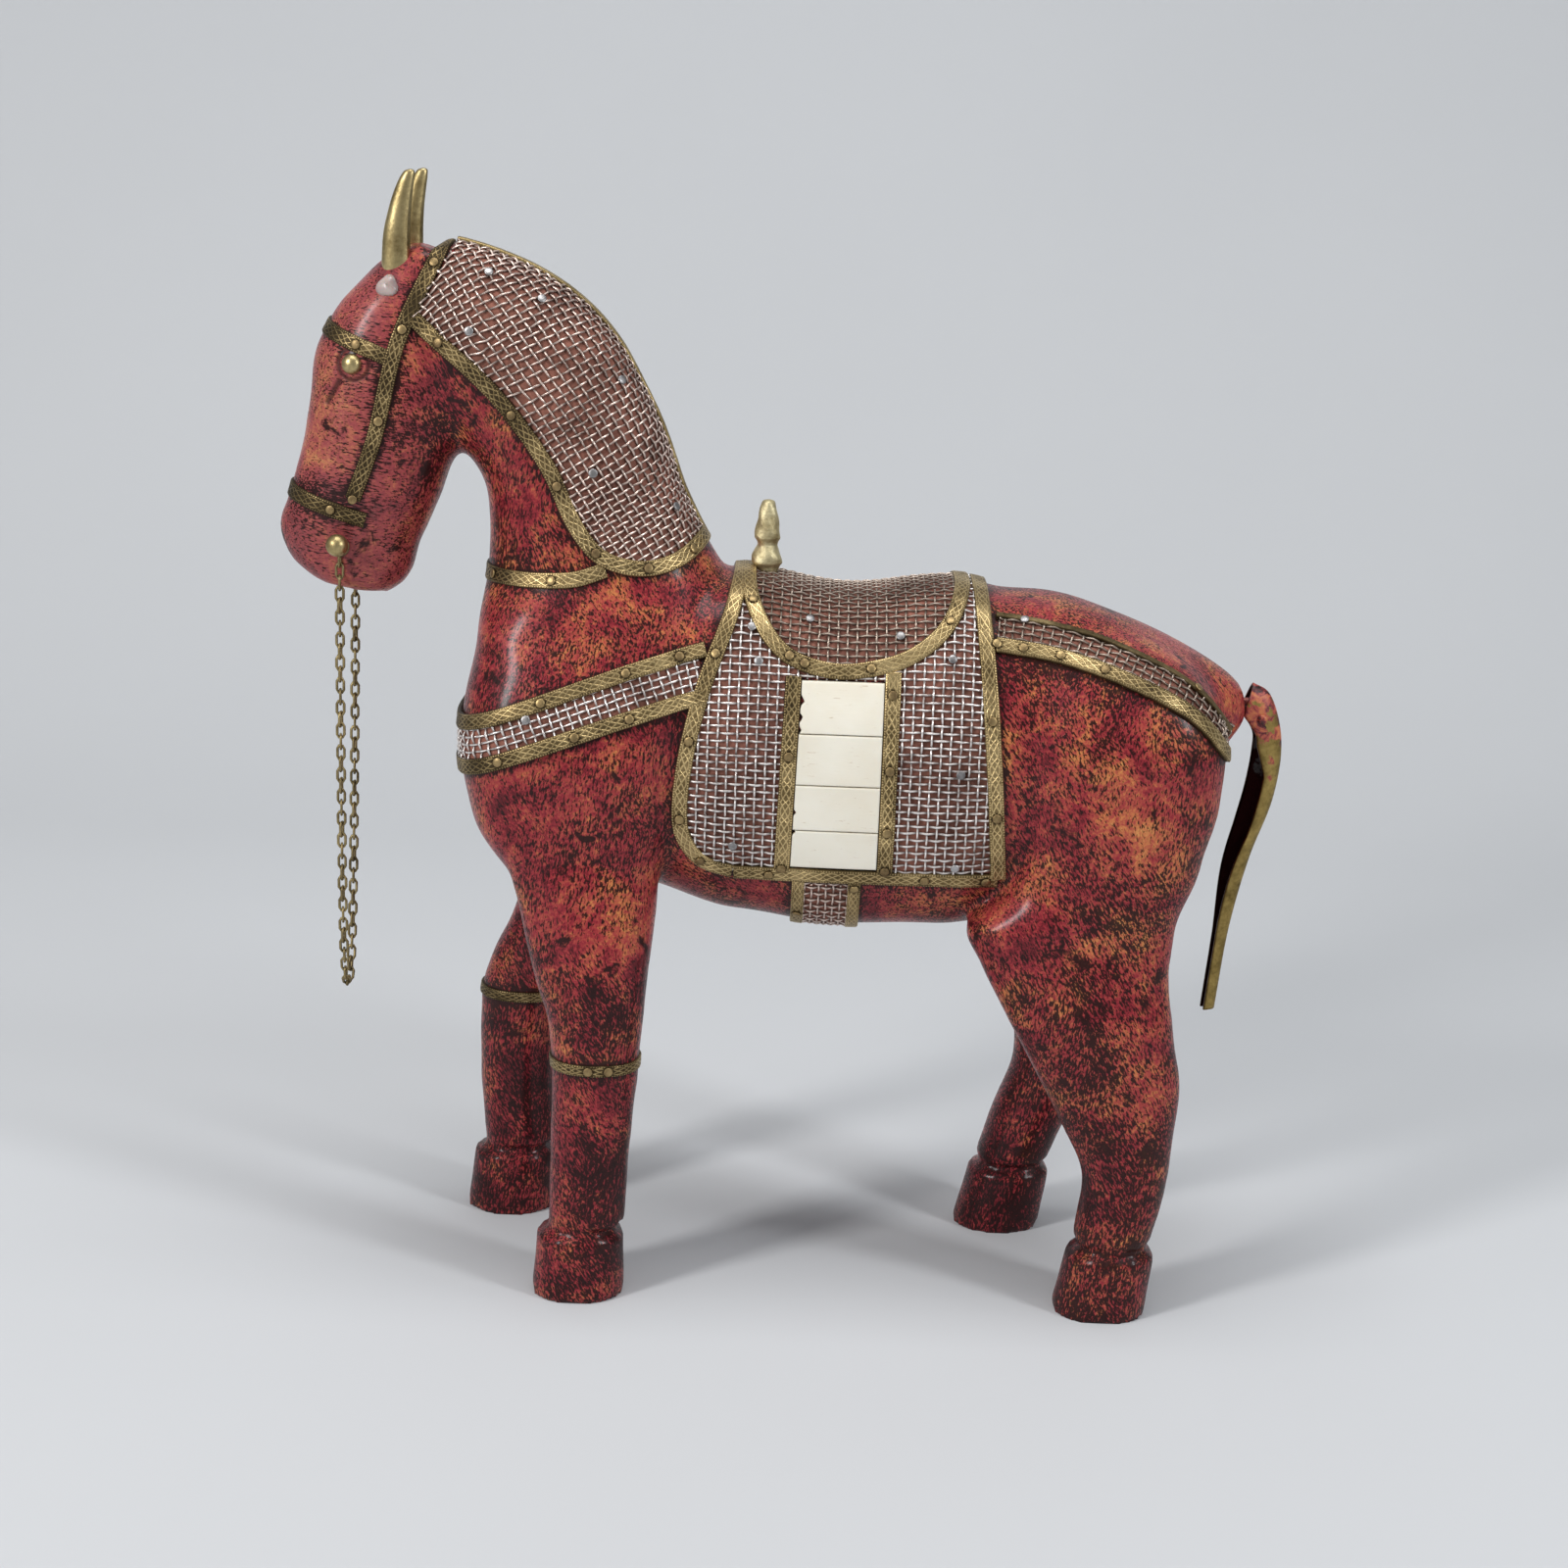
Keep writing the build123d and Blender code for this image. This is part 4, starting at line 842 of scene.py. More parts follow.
def wireShells(sheet, covers, u, v, along):
    # one family: wires at each value across, sampled four times to a crossing; height = lift +- sway * cos
    uGrid, vGrid = (u[None, :], v[:, None]) if along == "u" else (u[:, None], v[None, :])
    uGrid, vGrid = np.broadcast_arrays(uGrid, vGrid)
    centre, out = onSheet(sheet, uGrid, vGrid)
    inside = covers(centre)
    phase = np.pi * (uGrid / clothSet["upright"] + np.round(vGrid / clothSet["level"]))
    if along == "v":
        phase = np.pi * (np.round(uGrid / clothSet["upright"]) + vGrid / clothSet["level"] + 1)
    stray = np.cumsum(rng.normal(0, clothSet["stray"], uGrid.shape), 1)
    stray = stray - blur(stray.T, 12).T
    way = unit(np.gradient(centre, axis=1))
    across = unit(np.cross(out, way))
    height = clothSet["lift"] + clothSet["sway"] * np.cos(phase)
    centre = centre + out * height[..., None] + across * stray[..., None]
    sides = clothSet["sides"]
    turn = (np.arange(sides) + 0.5) * 2 * np.pi / sides
    ring = out[:, :, None] * np.cos(turn)[:, None] + across[:, :, None] * np.sin(turn)[:, None]
    points = centre[:, :, None] + ring * clothSet["wire"]
    index = np.arange(points[..., 0].size).reshape(points.shape[:3])
    run = inside[:, :-1] & inside[:, 1:]
    beside = np.roll(index, -1, 2)
    walls = np.stack([index[:, :-1], beside[:, :-1], beside[:, 1:], index[:, 1:]], -1)[run].reshape(-1, 4)
    before = np.pad(run, ((0, 0), (1, 0)))
    after = np.pad(run, ((0, 0), (0, 1)))
    caps = np.concatenate([index[after & ~before][:, ::-1], index[before & ~after]])
    quads = np.concatenate([walls, caps])
    used, quads = np.unique(quads, return_inverse=True)
    # painted shade: 1 where the wire dips under its neighbour, 0 at its crown
    dipShade = np.repeat(0.5 - 0.5 * np.cos(phase).ravel(), sides)
    return points.reshape(-1, 3)[used], quads.reshape(-1, 4), dipShade[used]


def wireSteps(limits, pitch):
    # where wires cross inside the limits, and four samples to each pitch
    crossings = np.arange(math.ceil(limits[0] / pitch), limits[1] / pitch) * pitch
    return crossings, np.arange(limits[0], limits[1], pitch / 4)


def newCloth(name, sheet, covers, uRange, vRange, node, wire, parts={"": everywhere}):
    # backing from the cells inside the outline, then the wires, as one piece for each part of the sheet
    uCount, vCount = (int((high - low) / clothSet["cell"]) + 2 for low, high in (uRange, vRange))
    u, v = np.linspace(*uRange, uCount), np.linspace(*vRange, vCount)
    points, out = onSheet(sheet, *np.meshgrid(u, v, indexing="ij"))
    inside = covers(points)
    cells = inside[:-1, :-1] & inside[1:, :-1] & inside[:-1, 1:] & inside[1:, 1:]
    index = np.arange(uCount * vCount).reshape(uCount, vCount)
    top = gridFaces(index)[cells]
    used, top = np.unique(top, return_inverse=True)
    top = top.reshape(-1, 4)
    flat, away = points.reshape(-1, 3)[used], out.reshape(-1, 3)[used]
    edges = np.concatenate([top[:, [0, 1]], top[:, [1, 2]], top[:, [2, 3]], top[:, [3, 0]]])
    key = np.sort(edges, 1) @ np.array([len(used), 1])
    _, first, count = np.unique(key, return_index=True, return_counts=True)
    rim = edges[first[count == 1]]
    low = len(used)
    walls = np.stack([rim[:, 1], rim[:, 0], rim[:, 0] + low, rim[:, 1] + low], -1)
    shell = np.concatenate([flat + away * clothSet["backing"], flat - away * clothSet["under"]])
    newPiece(name + "Backing", shell, np.concatenate([top, top[:, ::-1] + low, walls]), backing,
             slot="wire_cloth", stands=[node])
    uWire, uFine = wireSteps(uRange, clothSet["upright"])
    vWire, vFine = wireSteps(vRange, clothSet["level"])
    for label, pick in parts.items():
        test = lambda spots: covers(spots) & pick(spots)
        level = wireShells(sheet, test, uFine, vWire, "u")
        upright = wireShells(sheet, test, uWire, vFine, "v")
        newPiece(name + "Wires" + label, *joinShells([level, upright]), wire, slot="wire_cloth",
                 stands=[node], soot=np.concatenate([level[2], upright[2]]))


saddleSet = {
    "from": -42.0, "to": 76.0, "step": 1.4, "reach": 150.0, "core": 43, "middle": 20.0,
    "outside": 70, "radius": 40, "blanket": ((-38, 72), (-140, 140)), "seat": ((-22, 62), (-80, 80))}


def barrelSheet():
    # u is x; v is the way round the barrel from the ridge, minus on the left
    centre, step = elbow + saddleSet["core"], saddleSet["step"]
    turn = np.radians(np.linspace(-175, 175, 1401))
    ways = np.stack([np.zeros_like(turn), np.sin(turn), np.cos(turn)], -1)
    middle = castRays(np.tile([saddleSet["middle"], 0, centre], (len(turn), 1)) + ways * 90, -ways)[0]
    run = pathRun(middle)
    run = run - np.interp(0, turn, run)
    v = np.arange(-saddleSet["reach"], saddleSet["reach"] + step, step)
    turn = np.interp(v, run, turn)
    u = np.arange(saddleSet["from"], saddleSet["to"], step)
    ways = np.stack([np.zeros_like(turn), np.sin(turn), np.cos(turn)], -1)
    count = len(u) * len(v)
    starts = np.stack([np.repeat(u, len(v)), np.zeros(count), np.full(count, centre)], -1)
    ways = np.tile(ways, (len(u), 1))
    points = castRays(starts + ways * saddleSet["outside"], -ways)[0]
    points = np.where(np.isnan(points), starts + ways * saddleSet["radius"], points)
    points = points.reshape(len(u), len(v), 3)
    points = blur(blur(points, 1).transpose(1, 0, 2), 1).transpose(1, 0, 2)
    return newSheet(points, step, u[0], v[0], (points - (0, 0, centre)) * (0, 1, 1))


def smoothOutline(name, closing=()):
    return np.concatenate([smoothRows(lineSet[name], 60, monotone=False), np.array(closing).reshape(-1, 2)])


saddle = barrelSheet()
seatShape = smoothOutline("seat")
blanketShape = np.concatenate([smoothOutline("front"), smoothOutline("rear")])
tileBay = {"left": 1.8, "right": 31.2, "top": 70.3}  # the cloth stops under the tiles


def underTiles(spots):
    x, z = spots[..., 0], spots[..., 2] - elbow
    return (x > tileBay["left"]) & (x < tileBay["right"]) & (z < tileBay["top"])


def onSeat(spots):
    return inOutline(spots, seatShape)


def onBlanket(spots):
    return inOutline(spots, blanketShape) & ~onSeat(spots) & ~underTiles(spots)


saddleHalves = {"Left": lambda spots: spots[..., 1] < 0, "Right": lambda spots: spots[..., 1] >= 0}
newCloth("saddleBlanket", saddle, onBlanket, *saddleSet["blanket"], "saddle_blanket_mesh", flapWire,
         parts=saddleHalves)
newCloth("saddleSeat", saddle, onSeat, *saddleSet["seat"], "saddle_seat_mesh", seatWire)
print("saddle cloth woven")

maneSet = {
    "middle": (-70, 140), "tilt": math.radians(31), "half": 78, "step": 1.2,
    "stations": 260, "turns": 120, "sweep": math.radians(155), "core": 16, "outside": 130,
    "deep": 84.0, "drop": 0.8, "poll": (-112.2, 195.8), "withers": (-23.1, 100.5)}


def maneSheet(side):
    # a point of the cloth lies as far down the neck's own curve as it is from the crest in the side view
    crest = [maneSet["poll"], *lineSet["crest"], maneSet["withers"]]
    stations, count, core, step = (maneSet[key] for key in ("stations", "turns", "core", "step"))
    crest = smoothRows(crest, stations, monotone=False)
    inward = unit(np.stack([np.gradient(crest[:, 1]), -np.gradient(crest[:, 0])], -1))
    drops = np.arange(0, maneSet["deep"], maneSet["drop"])
    turn = np.linspace(0, maneSet["sweep"], count)
    ways = np.stack([np.outer(-np.cos(turn), inward[:, 0]).T, np.tile(side * np.sin(turn), (stations, 1)),
                     np.outer(-np.cos(turn), inward[:, 1]).T], -1)
    middle = crest + inward * core
    middle = np.stack([middle[:, 0], np.zeros(stations), middle[:, 1] + elbow], -1)[:, None]
    hits = castRays((middle + ways * maneSet["outside"]).reshape(-1, 3), -ways.reshape(-1, 3))[0]
    hits = hits.reshape(stations, count, 3)
    hits = np.where(np.isnan(hits), middle + ways * core, hits)
    hits = blur(blur(hits.transpose(1, 0, 2), 2).transpose(1, 0, 2), 2)
    run = np.pad(np.cumsum(np.linalg.norm(np.diff(hits, axis=1), axis=2), 1), ((0, 0), (1, 0)))
    table = [[np.interp(drops, one, row[:, axis]) for axis in range(3)] for one, row in zip(run, hits)]
    table = np.stack(table).transpose(0, 2, 1)
    half, tilt = maneSet["half"], maneSet["tilt"]
    a, b = np.meshgrid(np.arange(-half, half, step), np.arange(-half, half, step), indexing="ij")
    x = maneSet["middle"][0] + a * math.cos(tilt) - b * math.sin(tilt)
    z = maneSet["middle"][1] + a * math.sin(tilt) + b * math.cos(tilt)
    gaps = np.hypot(x[..., None] - crest[:, 0], z[..., None] - crest[:, 1])
    station = gaps.argmin(-1)
    offset = (x - crest[station, 0]) * inward[station, 0] + (z - crest[station, 1]) * inward[station, 1]
    level = np.clip(offset / maneSet["drop"], 0, len(drops) - 1.001)
    low, share = level.astype(int), (level % 1)[..., None]
    points = table[station, low] * (1 - share) + table[station, low + 1] * share
    beyond = (offset < 0.5) | (gaps.min(-1) > np.abs(offset) + 2)
    points[..., 1] -= side * np.where(beyond, 99, 0)  # past the crest or its ends, so out of the cloth
    return newSheet(points, step, -half, -half, points * (0, 1, 0) + (0, 0, 6))


maneShape = smoothOutline("mane", [(-10, 130), (-40, 205), (-99, 205), (-104.5, 191)])
maneRange = (-maneSet["half"] + 2, maneSet["half"] - 2)
for side, label in flanks:
    onMane = lambda spots: inOutline(spots, maneShape) & (spots[..., 1] * side > 1.5)
    newCloth("mane" + label.title(), maneSheet(side), onMane, maneRange, maneRange, "mane_mesh", maneWire)
print("mane cloth woven")


def ribbonCloth(name, path, width, node, wire):
    # cloth along a path on the wood: u runs along it, v across it, both in millimetres
    ribbon = ribbonFrame(path, 1.0)
    offsets = np.arange(-width / 2 - 1, width / 2 + 1.01, 1.0)
    sheet = newSheet(ribbonSheet(ribbon, offsets), 1.0, 0.0, offsets[0], ribbon["out"][:, None, :])
    newCloth(name, sheet, everywhere, (0, len(ribbon["centre"]) - 1.0), (-width / 2, width / 2), node, wire)


chestPath = overTop(sidePath(lineSet["chest"]), False)
ribbonCloth("chestStrap", chestPath, chestSet["width"], "chest_strap_mesh", flapWire)
ribbonCloth("girth", girthPath(girthSet["middle"]), girthSet["width"], "girth_mesh", maneWire)
rise, width = crupperSet["cloth"]
crupperPaths = bothSides([sidePath(raised(lineSet["crupper"], rise))])
for path, (side, label) in zip(crupperPaths, flanks):
    path = path[np.abs(path[:, 1]) > crupperSet["clothEnd"]]
    ribbonCloth("crupper" + label.title(), path, width, "crupper_mesh", seatWire)
print("straps woven")


# bone tiles: four sawn slabs on each flap, with rounded and chipped edges
tileSet = {
    "left": 4.2, "spread": 1.4, "fall": 58, "right": 28.8, "long": 24.6, "gap": 0.16, "thick": 1.75,
    "under": 0.4, "edge": 0.35, "crowd": 0.13, "tilt": 0.12, "courses": (12.9, 25.2, 39.4, 55.0, 70.7),
    "chips": (  # course, share along and up, size
        (3, 0.02, 0.62, 1.5), (3, 0.0, 0.30, 1.1), (3, 0.03, 0.06, 1.3), (1, 0.0, 0.4, 0.8),
        (0, 0.0, 0.97, 0.9))}


def tileShell(side, course, across=40, up=26):
    # top: the flank grown by the slab's thickness, rounded down at the rim; underside: the flank, sunk
    # s runs along the slab and t up it, both crowded towards the rim
    low, high = tileSet["courses"][course:course + 2]
    long, tall = tileSet["long"], high - low
    s, t = np.meshgrid(np.linspace(0, 1, across), np.linspace(0, 1, up), indexing="ij")
    s, t = (share - np.sin(2 * np.pi * share) * tileSet["crowd"] for share in (s, t))
    z = low + tileSet["gap"] + t * (tall - 2 * tileSet["gap"])
    left = tileSet["left"] - tileSet["spread"] * (tileSet["courses"][-1] - z) / tileSet["fall"]
    x = left + s * (tileSet["right"] - left)
    for row, chipS, chipT, size in tileSet["chips"]:
        if row == course:
            away = ((s - chipS) * long) ** 2 + ((t - chipT) * tall) ** 2
            x = x + size * np.exp(-away / (0.5 * size ** 2))
    points = flankRays(x, z, side)[0].reshape(across, up, 3)
    points = blur(blur(points, 2).transpose(1, 0, 2), 2).transpose(1, 0, 2)
    points[..., 0], points[..., 2] = x, z + elbow
    rim = np.minimum(np.minimum(s, 1 - s) * long, np.minimum(t, 1 - t) * tall)
    drop = tileSet["edge"] * (1 - np.clip(rim / tileSet["edge"], 0, 1)) ** 2
    tilt = tileSet["tilt"] * math.sin(course * 2.1 + side) * (t - 0.5)
    out = np.array([0, side, 0])
    top = points + out * (tileSet["thick"] - drop + tilt)[..., None]
    under = points - out * tileSet["under"]
    index = np.arange(across * up).reshape(across, up)
    faces = gridFaces(index).reshape(-1, 4)
    edge = np.concatenate([index[:, 0], index[-1, 1:], index[-2::-1, -1], index[0, -2:0:-1]])
    turn = np.roll(edge, -1)
    count = across * up
    walls = np.stack([edge, turn, turn + count, edge + count], -1)
    points = np.concatenate([top.reshape(-1, 3), under.reshape(-1, 3)])
    return points, np.concatenate([faces, faces[:, ::-1] + count, walls])


for side, label in flanks:
    tiles = joinShells([tileShell(side, course) for course in range(4)])
    newPiece("boneTiles" + label.title(), *tiles, bone, slot="bone", stands=["bone_tiles_" + label])
print("tiles set")


def lathe(profile, cuts, origin, axis, wobble=0.0):
    # rings of radius and height turned about an axis through the origin
    axis = np.array(axis, float) / np.linalg.norm(axis)
    side = unit(np.cross(axis, [0.0, 0, 1] if abs(axis[2]) < 0.9 else [1.0, 0, 0]))
    other = np.cross(axis, side)
    turn = np.arange(cuts) * 2 * np.pi / cuts
    profile = np.asarray(profile, float)
    radius = profile[:, :1] * (1 + wobble * np.sin(turn * 3 + profile[:, 1:] * 0.9))
    spokes = np.cos(turn)[:, None] * side + np.sin(turn)[:, None] * other
    points = np.array(origin) + radius[..., None] * spokes + profile[:, 1][:, None, None] * axis
    return points.reshape(-1, 3), tubeFaces(len(profile), cuts)


def sphereProfile(radius, middle, count=15, share=0.985):
    tilt = np.linspace(-share, share, count) * np.pi / 2
    return np.stack([radius * np.cos(tilt), middle + radius * np.sin(tilt)], -1)


# brass tacks and steel nails, where the photo shows their heads
tackSet = {
    "radius": 1.4, "reach": 9.0, "grime": 0.42, "nailLift": 1.2,
    "brass": [
        (439, 267), (411, 337), (367, 344), (380, 428), (359, 512), (339, 517), (449, 349), (524, 423),
        (571, 495), (607, 566), (662, 586), (706, 564), (506, 582), (564, 585), (549, 710), (639, 692),
        (695, 675), (507, 763), (587, 755), (644, 739), (731, 669), (705, 755), (691, 834), (706, 884),
        (784, 899), (873, 904), (943, 902), (1006, 894), (768, 616), (809, 666), (889, 681),
        (971, 638), (818, 686), (809, 772), (799, 885), (905, 710), (902, 785), (899, 849), (900, 887),
        (1015, 653), (1018, 737), (1026, 833), (1046, 648), (1087, 660), (1133, 674), (1216, 712),
        (601, 1088), (621, 1088), (814, 928)],
    "steel": [
        (552, 307), (479, 338), (498, 280), (632, 389), (605, 483), (687, 518), (537, 735), (774, 675),
        (826, 634), (919, 651), (972, 674), (980, 790), (748, 861), (974, 884), (767, 641),
        (1045, 635)]}


def headSpots(pixels):
    # where the rays through the pixels meet the wood, and the same spots on the far flank
    eye = np.tile(np.array(cameraSet["place"]) / mm, (len(pixels), 1))
    spots, outs = castRays(eye, np.array([tuple(pixelRay(*pixel)) for pixel in pixels]))
    found, flip = ~np.isnan(spots[:, 0]), np.array([1, -1, 1])
    spots, outs = spots[found], outs[found]
    return np.concatenate([spots, spots * flip]), np.concatenate([outs, outs * flip])


def headShells(spots, outs, radius):
    # flat heads with a rounded rim that stands a little clear of what they hold
    profile = [(radius * 0.7, -0.9), (radius * 0.7, 0.1), (radius, 0.16), (radius, 0.38),
               (radius * 0.86, 0.5), (radius * 0.3, 0.55)]
    leans = unit(outs + rng.normal(0, 0.05, outs.shape))
    return joinShells([lathe(profile, 12, spot, lean) for spot, lean in zip(spots, leans)])


spots, outs = headSpots(tackSet["brass"])
middles = np.concatenate(stripLines)
gaps = np.linalg.norm(spots[:, None] - middles[None, :, :3], axis=-1)
onStrip = gaps.min(1) < tackSet["reach"]
tacked = middles[gaps.argmin(1)]
spots, outs = tacked[onStrip, :3], tacked[onStrip, 3:]
for piece in stripPieces:
    place = np.zeros(len(piece.data.vertices) * 3)
    piece.data.vertices.foreach_get("co", place)
    place = place.reshape(-1, 3) / mm
    away = np.full(len(place), 99.0)
    for spot in spots:
        away = np.minimum(away, np.linalg.norm(place - spot, axis=1))
    ring = np.maximum(away - tackSet["radius"], 0) / tackSet["grime"]
    addGrimeAndShade(piece.data, np.exp(-ring ** 2))  # darker in a ring round each head
newPiece("brassTacks", *headShells(spots, outs, tackSet["radius"]), tackBrass, slot="cast_brass")
spots, outs = headSpots(tackSet["steel"])
spots = spots + outs * tackSet["nailLift"]
newPiece("steelNails", *headShells(spots, outs, tackSet["radius"]), nailSteel, slot="cast_brass")
print("tacks driven")


# ears: leaf-shaped castings, hollow at the back, tips leaning back
earSet = {
    "x": -121, "lag": 1.6, "spread": 8, "splay": 0.4, "foot": 310.5, "height": 31.5, "hollow": 0.64,
    "rows": [  # share of height, lean, half length, half width
        (0, 0.4, 3.2, 2.5), (0.14, 0.0, 4.5, 3.0), (0.35, 0.1, 4.3, 3.0), (0.6, 0.9, 3.6, 2.7),
        (0.8, 2.1, 2.9, 2.2), (0.93, 3.2, 2.2, 1.7), (0.985, 3.8, 1.5, 1.2), (1, 4.0, 0.5, 0.5)]}


def earShell(side, rings=48, cuts=44):
    # leaf open at the back: outer x = -a cos, y = b sin over 300 degrees
    # the inner sheet is the same, smaller where the leaf is hollow
    row = smoothRows(earSet["rows"], rings)[:, None, :]
    share = row[..., 0]
    turn = np.radians(np.linspace(-150, 150, cuts // 2))
    inner = np.clip((share - 0.1) / 0.15, 0.06, 1) * np.clip((1.03 - share) / 0.15, 0.06, 1)
    inner = inner * earSet["hollow"]
    foot = earSet["x"] + (side == far) * earSet["lag"]
    z = np.broadcast_to(earSet["foot"] + earSet["height"] * share, (rings, len(turn)))
    shapes = []
    for size in (np.ones_like(inner), inner):
        x = foot + row[..., 1] - row[..., 2] * size * np.cos(turn)
        y = side * (earSet["spread"] + share * earSet["splay"]) + row[..., 3] * size * np.sin(turn)
        shapes.append(np.stack([x, y, z], -1))
    grid = np.concatenate([shapes[0], shapes[1][:, ::-1]], 1)
    return grid.reshape(-1, 3), tubeFaces(rings, cuts)


def cheekSpot(x, height, side):
    place, out = flankRays(np.array([x]), np.array([height]), side)
    return place[0], out[0]


# x, height, radius, how far it stands out
studSet = {"eye": (-133, 157, 3.0, 2.6), "bit": (-137, 103, 3.4, 2.4), "glue": (-123, 180)}
for side, label in flanks:
    newPiece("ear" + label.title(), *earShell(side), castBrass, slot="cast_brass", stands=["ear_" + label])
    x, height, radius, tall = studSet["eye"]
    place, out = cheekSpot(x, height, side)
    dome = [(radius * 1.02, -1.5), (radius * 1.02, 0.25)] + [
        (radius * math.cos(tilt), 0.35 + tall * 0.9 * math.sin(tilt)) for tilt in np.linspace(0.12, 1.5, 9)]
    newPiece("eyeStud" + label.title(), *lathe(dome, 28, place, out), castBrass, slot="cast_brass",
             stands=["eye_stud_" + label])
    x, height, radius, standOff = studSet["bit"]
    ringLow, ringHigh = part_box("bit_ring_" + label)
    ringY = (ringLow.y + ringHigh.y) / 2 / mm
    foot = np.array([x, ringY - side * 1.2, elbow + height])
    shank = lathe([(1.0, -3.5), (1.0, standOff + 1)], 12, foot, (0, side, 0))
    ball = lathe(sphereProfile(radius, standOff + radius), 28, foot, (0, side, 0))
    newPiece("bitBoss" + label.title(), *joinShells([shank, ball]), castBrass, slot="cast_brass",
             stands=["bit_boss_" + label])
place, out = cheekSpot(*studSet["glue"], near)
drop = [(3.3, -1.2), (3.35, 0.15), (3.0, 0.75), (2.3, 1.35), (1.3, 1.8), (0.3, 1.95)]
newPiece("glueDrop", *lathe(drop, 22, place, out, wobble=0.13), glue, slot="clear_glue", stands=["glue_drop"])
finialSet = {"x": -8, "foot": 99.1, "rows": [  # radius, height
    (3.4, -3), (3.9, -0.6), (4.7, 0.8), (4.6, 2.2), (3.8, 4.4), (3.1, 6.2), (3.3, 7.1), (3.95, 8.5),
    (3.9, 9.6), (3.1, 14.6), (2.3, 18.3), (1.7, 19.6), (0.6, 20)]}
foot = (finialSet["x"], 0, elbow + finialSet["foot"])
turned = lathe(smoothRows(finialSet["rows"], 70), 28, foot, (0, 0, 1), wobble=0.05)
newPiece("finial", *turned, paleBrass, slot="cast_brass", stands=["finial"])

# tail: a brass sheet bent to a half-round channel, open towards the rump
tailSet = {"wall": 1.0, "half": 4.3, "cut": 0.5, "lines": [  # outer x and height, inner x and height
    (144.5, 67.8, 141.5, 58), (149.5, 65, 145.8, 52), (153, 57.5, 146.2, 46), (154.9, 46, 145, 35),
    (153.4, 31, 142.8, 24), (147.8, 12.5, 139.4, 8), (143.0, -11, 138, -14), (140.2, -38.6, 136, -38.9)]}


def tailShell(rings=90, cuts=22):
    # outer sheet = inner line + (outer - inner) cos, half width * sin; inner sheet the same, a wall thinner
    row = smoothRows(tailSet["lines"], rings, monotone=False)[:, None, :]
    share = np.linspace(0, 1, rings)[:, None]
    cut = tailSet["cut"] * np.clip((share - 0.1) / 0.15, 0, 1)  # the near edge is cut short
    cut = cut * np.clip((0.8 - share) / 0.35, 0.25, 1)
    turn = np.pi / 2 - (np.pi - cut) * np.linspace(1, 0, cuts)
    half = tailSet["half"] * (1 - 0.45 * np.clip((share - 0.45) / 0.3, 0, 1))
    depth = np.hypot(row[..., 2] - row[..., 0], row[..., 3] - row[..., 1])
    shapes = []
    for shrink in (0, tailSet["wall"]):
        thin = (depth - shrink) / depth
        x = row[..., 2] + (row[..., 0] - row[..., 2]) * thin * np.cos(turn)
        z = row[..., 3] + (row[..., 1] - row[..., 3]) * thin * np.cos(turn) + elbow
        shapes.append(np.stack([x, (half - shrink) * np.sin(turn), z], -1))
    grid = np.concatenate([shapes[0], shapes[1][:, ::-1]], 1)
    # the third table is painted shade: 1 on the inner sheet, 0 on the outer
    return grid.reshape(-1, 3), tubeFaces(rings, 2 * cuts), np.tile(np.repeat([0.0, 1.0], cuts), rings)


root = lathe([(1.5, -6), (1.5, 6.5)], 12, (143, 0, elbow + 61.5), (1, 0, 0))
pin = lathe([(1.5, -0.6), (1.5, 0.4), (1.2, 0.7), (0.3, 0.8)], 12, (147.5, -4.0, elbow + 57), (0, -1, 0))
sheet = tailShell()
soot = np.pad(sheet[2], (0, len(root[0]) + len(pin[0])))  # the hollow is painted black as painted shade
newPiece("tail", *joinShells([sheet, root, pin]), tailBrass, slot="cast_brass", stands=["tail"], soot=soot)
print("castings set")


# rein: rings on the bit shanks, and 81 links of round wire on a hanging curve
reinSet = {"wire": 0.45, "long": 5.65, "wide": 3.1, "drop": 141.0, "top": 227.8, "x": -137.0, "links": 81,
           "upper": 20, "ring": 3.1, "shank": 231, "ringDrop": 1.1, "lift": 0.15, "twist": 0.2}


def wireLoop(path, out, radius, sides):
    # round wire on a closed flat path; out is the loop's own normal
    way = unit(np.roll(path, -1, 0) - np.roll(path, 1, 0))
    across = np.cross(np.broadcast_to(out, way.shape), way)
    turn = np.arange(sides) * 2 * np.pi / sides
    points = path[:, None] + radius * (across[:, None] * np.cos(turn)[:, None] + out * np.sin(turn)[:, None])
    return points.reshape(-1, 3), tubeFaces(len(path), sides, closed=True)


def catenaryRadius(span, drop):
    # the radius r at the bottom with r * (cosh(span / r) - 1) = drop, by halving
    low, high = span / 20, span
    for _ in range(60):
        middle = (low + high) / 2
        low, high = (middle, high) if middle * (math.cosh(span / middle) - 1) > drop else (low, middle)
    return middle


def chainLink(pins, index, lift):
    # straight sides and half-round ends, every second link turned a quarter
    start, end = pins[index], pins[index + 1]
    along = unit(end - start)
    flat = np.array([1.0, 0, 0]) if index % 2 == 0 else np.cross([1.0, 0, 0], along)
    swing = reinSet["twist"] * math.sin(index * 1.9)
    flat = unit(flat * math.cos(swing) + np.cross(along, flat) * math.sin(swing))
    side = np.cross(flat, along)
    bend = reinSet["wide"] / 2 - reinSet["wire"]
    straight = reinSet["long"] / 2 - reinSet["wire"] - bend
    turn = np.radians([-90, -30, 30, 90])
    ends = np.concatenate([
        np.stack([straight + bend * np.cos(turn), bend * np.sin(turn)], -1),
        np.stack([-straight - bend * np.cos(turn), -bend * np.sin(turn)], -1)])
    path = (start + end) / 2 + (0, 0, lift) + ends[:, :1] * along + ends[:, 1:] * side
    return wireLoop(path, flat, reinSet["wire"], 6)


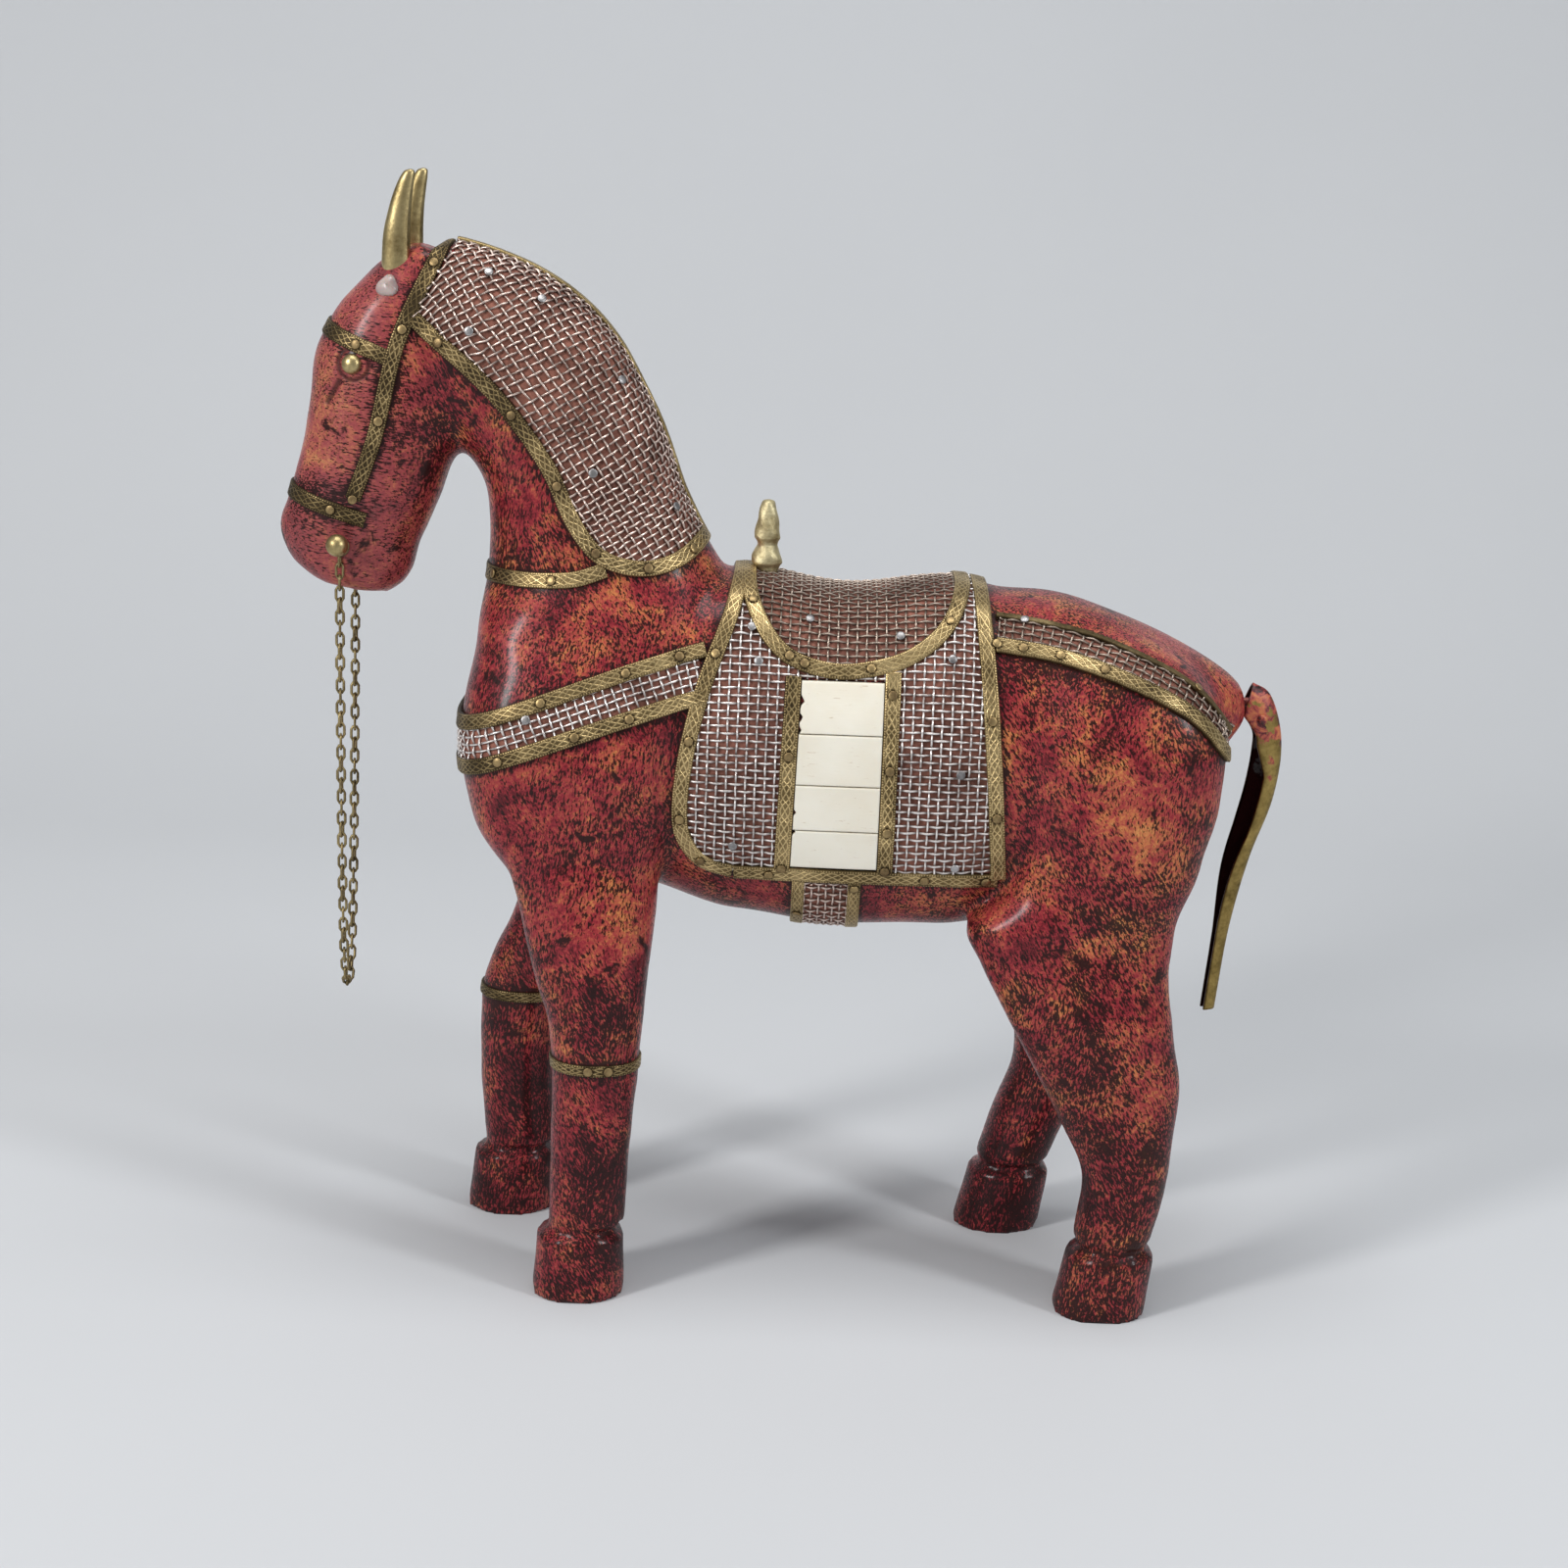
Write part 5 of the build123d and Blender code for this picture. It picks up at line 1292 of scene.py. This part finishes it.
ringY = abs(ringY)  # both rings stand as far out
half = catenaryRadius(ringY, reinSet["drop"])
reach = half * math.sinh(ringY / half)
run = np.linspace(-reach, reach, reinSet["links"] + 1)
pins = np.stack([np.full(len(run), reinSet["x"]), half * np.arcsinh(run / half),
                 reinSet["top"] - reinSet["drop"] + np.hypot(half, run) - half], -1)
last, upper = reinSet["links"], reinSet["upper"]
for name, first, stop, body, lift, node in (
        ("reinStrandLeft", 0, upper, "rein_upper", 0, "rein_chain_left"),
        ("reinStrandRight", last - upper, last, "rein_upper", 0, "rein_chain_right"),
        ("reinLoop", upper, last - upper, "rein_lower", reinSet["lift"], "rein_chain_loop")):
    shells = [chainLink(pins, index, lift) for index in range(first, stop)]
    newPiece(name, *joinShells(shells), chainBrass, body=body, slot="chain_brass", stands=[node])
turn = np.arange(28) * 2 * np.pi / 28
middle = reinSet["ring"] - reinSet["wire"]
for side, label in flanks:
    circle = np.stack([reinSet["x"] + middle * np.cos(turn), np.full(turn.shape, side * ringY),
                       reinSet["shank"] - reinSet["ringDrop"] + middle * np.sin(turn)], -1)
    shell = wireLoop(circle, np.array([0.0, 1, 0]), reinSet["wire"], 10)
    newPiece("bitRing" + label.title(), *shell, chainBrass, body="rein_upper", slot="chain_brass",
             stands=["bit_ring_" + label])
print("rein hung")


# dowels inside the glued joints never show; they keep their own solids in plain wood
def dowelFinish():
    finish = Finish("plainDowelWood")
    grain = finish.place.noise(160, 4, 0.6, stretch=(1, 1, 0.15))
    finish.link("Base Color", grain.ramp(0.3, 0.7).mix((0.40, 0.25, 0.13), (0.62, 0.45, 0.28)))
    finish.link("Roughness", grain * 0.3 + 0.45)
    return finish


dowelWood = dowelFinish()
for name in ("leg_dowels", "neck_dowels"):
    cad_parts[name].data.materials.clear()
    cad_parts[name].data.materials.append(dowelWood.material)


# pale studio sweep: floor, a round cove and a wall in one sheet
stageSet = {"colour": (0.60, 0.615, 0.635), "front": -6.0, "wall": 1.0, "cove": 0.5, "half": 6.0,
            "top": 2.6, "aim": (0, 0, 0.17), "room": (0.96, 0.98, 1, 1), "roomLight": 0.27}


def stageSheet():
    turn = np.linspace(0, np.pi / 2, 13)
    wall, bend = stageSet["wall"], stageSet["cove"]
    y = np.concatenate([[stageSet["front"]], wall - bend + bend * np.sin(turn), [wall]])
    z = np.concatenate([[0], bend - bend * np.cos(turn), [stageSet["top"]]])
    x = np.array([-stageSet["half"], stageSet["half"]])
    points = np.stack([np.broadcast_to(x, (len(y), 2)), np.broadcast_to(y[:, None], (len(y), 2)),
                       np.broadcast_to(z[:, None], (len(y), 2))], -1).reshape(-1, 3)
    row = np.arange(len(y) - 1) * 2
    quads = np.stack([row, row + 1, row + 3, row + 2], -1)
    mesh = bpy.data.meshes.new("paleSweep")
    mesh.from_pydata(points.tolist(), [], quads.tolist())
    mesh.polygons.foreach_set("use_smooth", np.ones(len(quads), bool))
    finish = Finish("palePaper", Roughness=0.9, Specular_IOR_Level=0.2)
    dim, lit = (tuple(share * tone for tone in stageSet["colour"]) for share in (0.97, 1.03))
    finish.link("Base Color", finish.place.noise(3, 2).mix(dim, lit))
    mesh.materials.append(finish.material)
    sweep = bpy.data.objects.new("paleSweep", mesh)
    bpy.context.scene.collection.objects.link(sweep)


def softLight(name, place, size, power, colour=(1, 1, 1)):
    lamp = bpy.data.lights.new(name, "AREA")
    lamp.shape = "RECTANGLE"
    lamp.size, lamp.size_y = size
    lamp.energy = power
    lamp.color = colour
    light = bpy.data.objects.new(name, lamp)
    light.location = place
    light.rotation_euler = (Vector(stageSet["aim"]) - Vector(place)).to_track_quat("-Z", "Y").to_euler()
    bpy.context.scene.collection.objects.link(light)


stageSheet()
softLight("leftWindow", (-1.15, -1.0, 0.95), (0.24, 0.66), 15, (1, 0.985, 0.97))
softLight("rightWindow", (1.15, -0.75, 0.9), (0.2, 0.6), 8, (0.97, 0.985, 1))
softLight("ceiling", (0.0, -0.15, 1.7), (1.0, 0.7), 12.5)
world = bpy.data.worlds.new("softRoom")
world.use_nodes = True
room = world.node_tree.nodes["Background"].inputs
room["Color"].default_value = stageSet["room"]
room["Strength"].default_value = stageSet["roomLight"]
bpy.context.scene.world = world
print("stage lit")
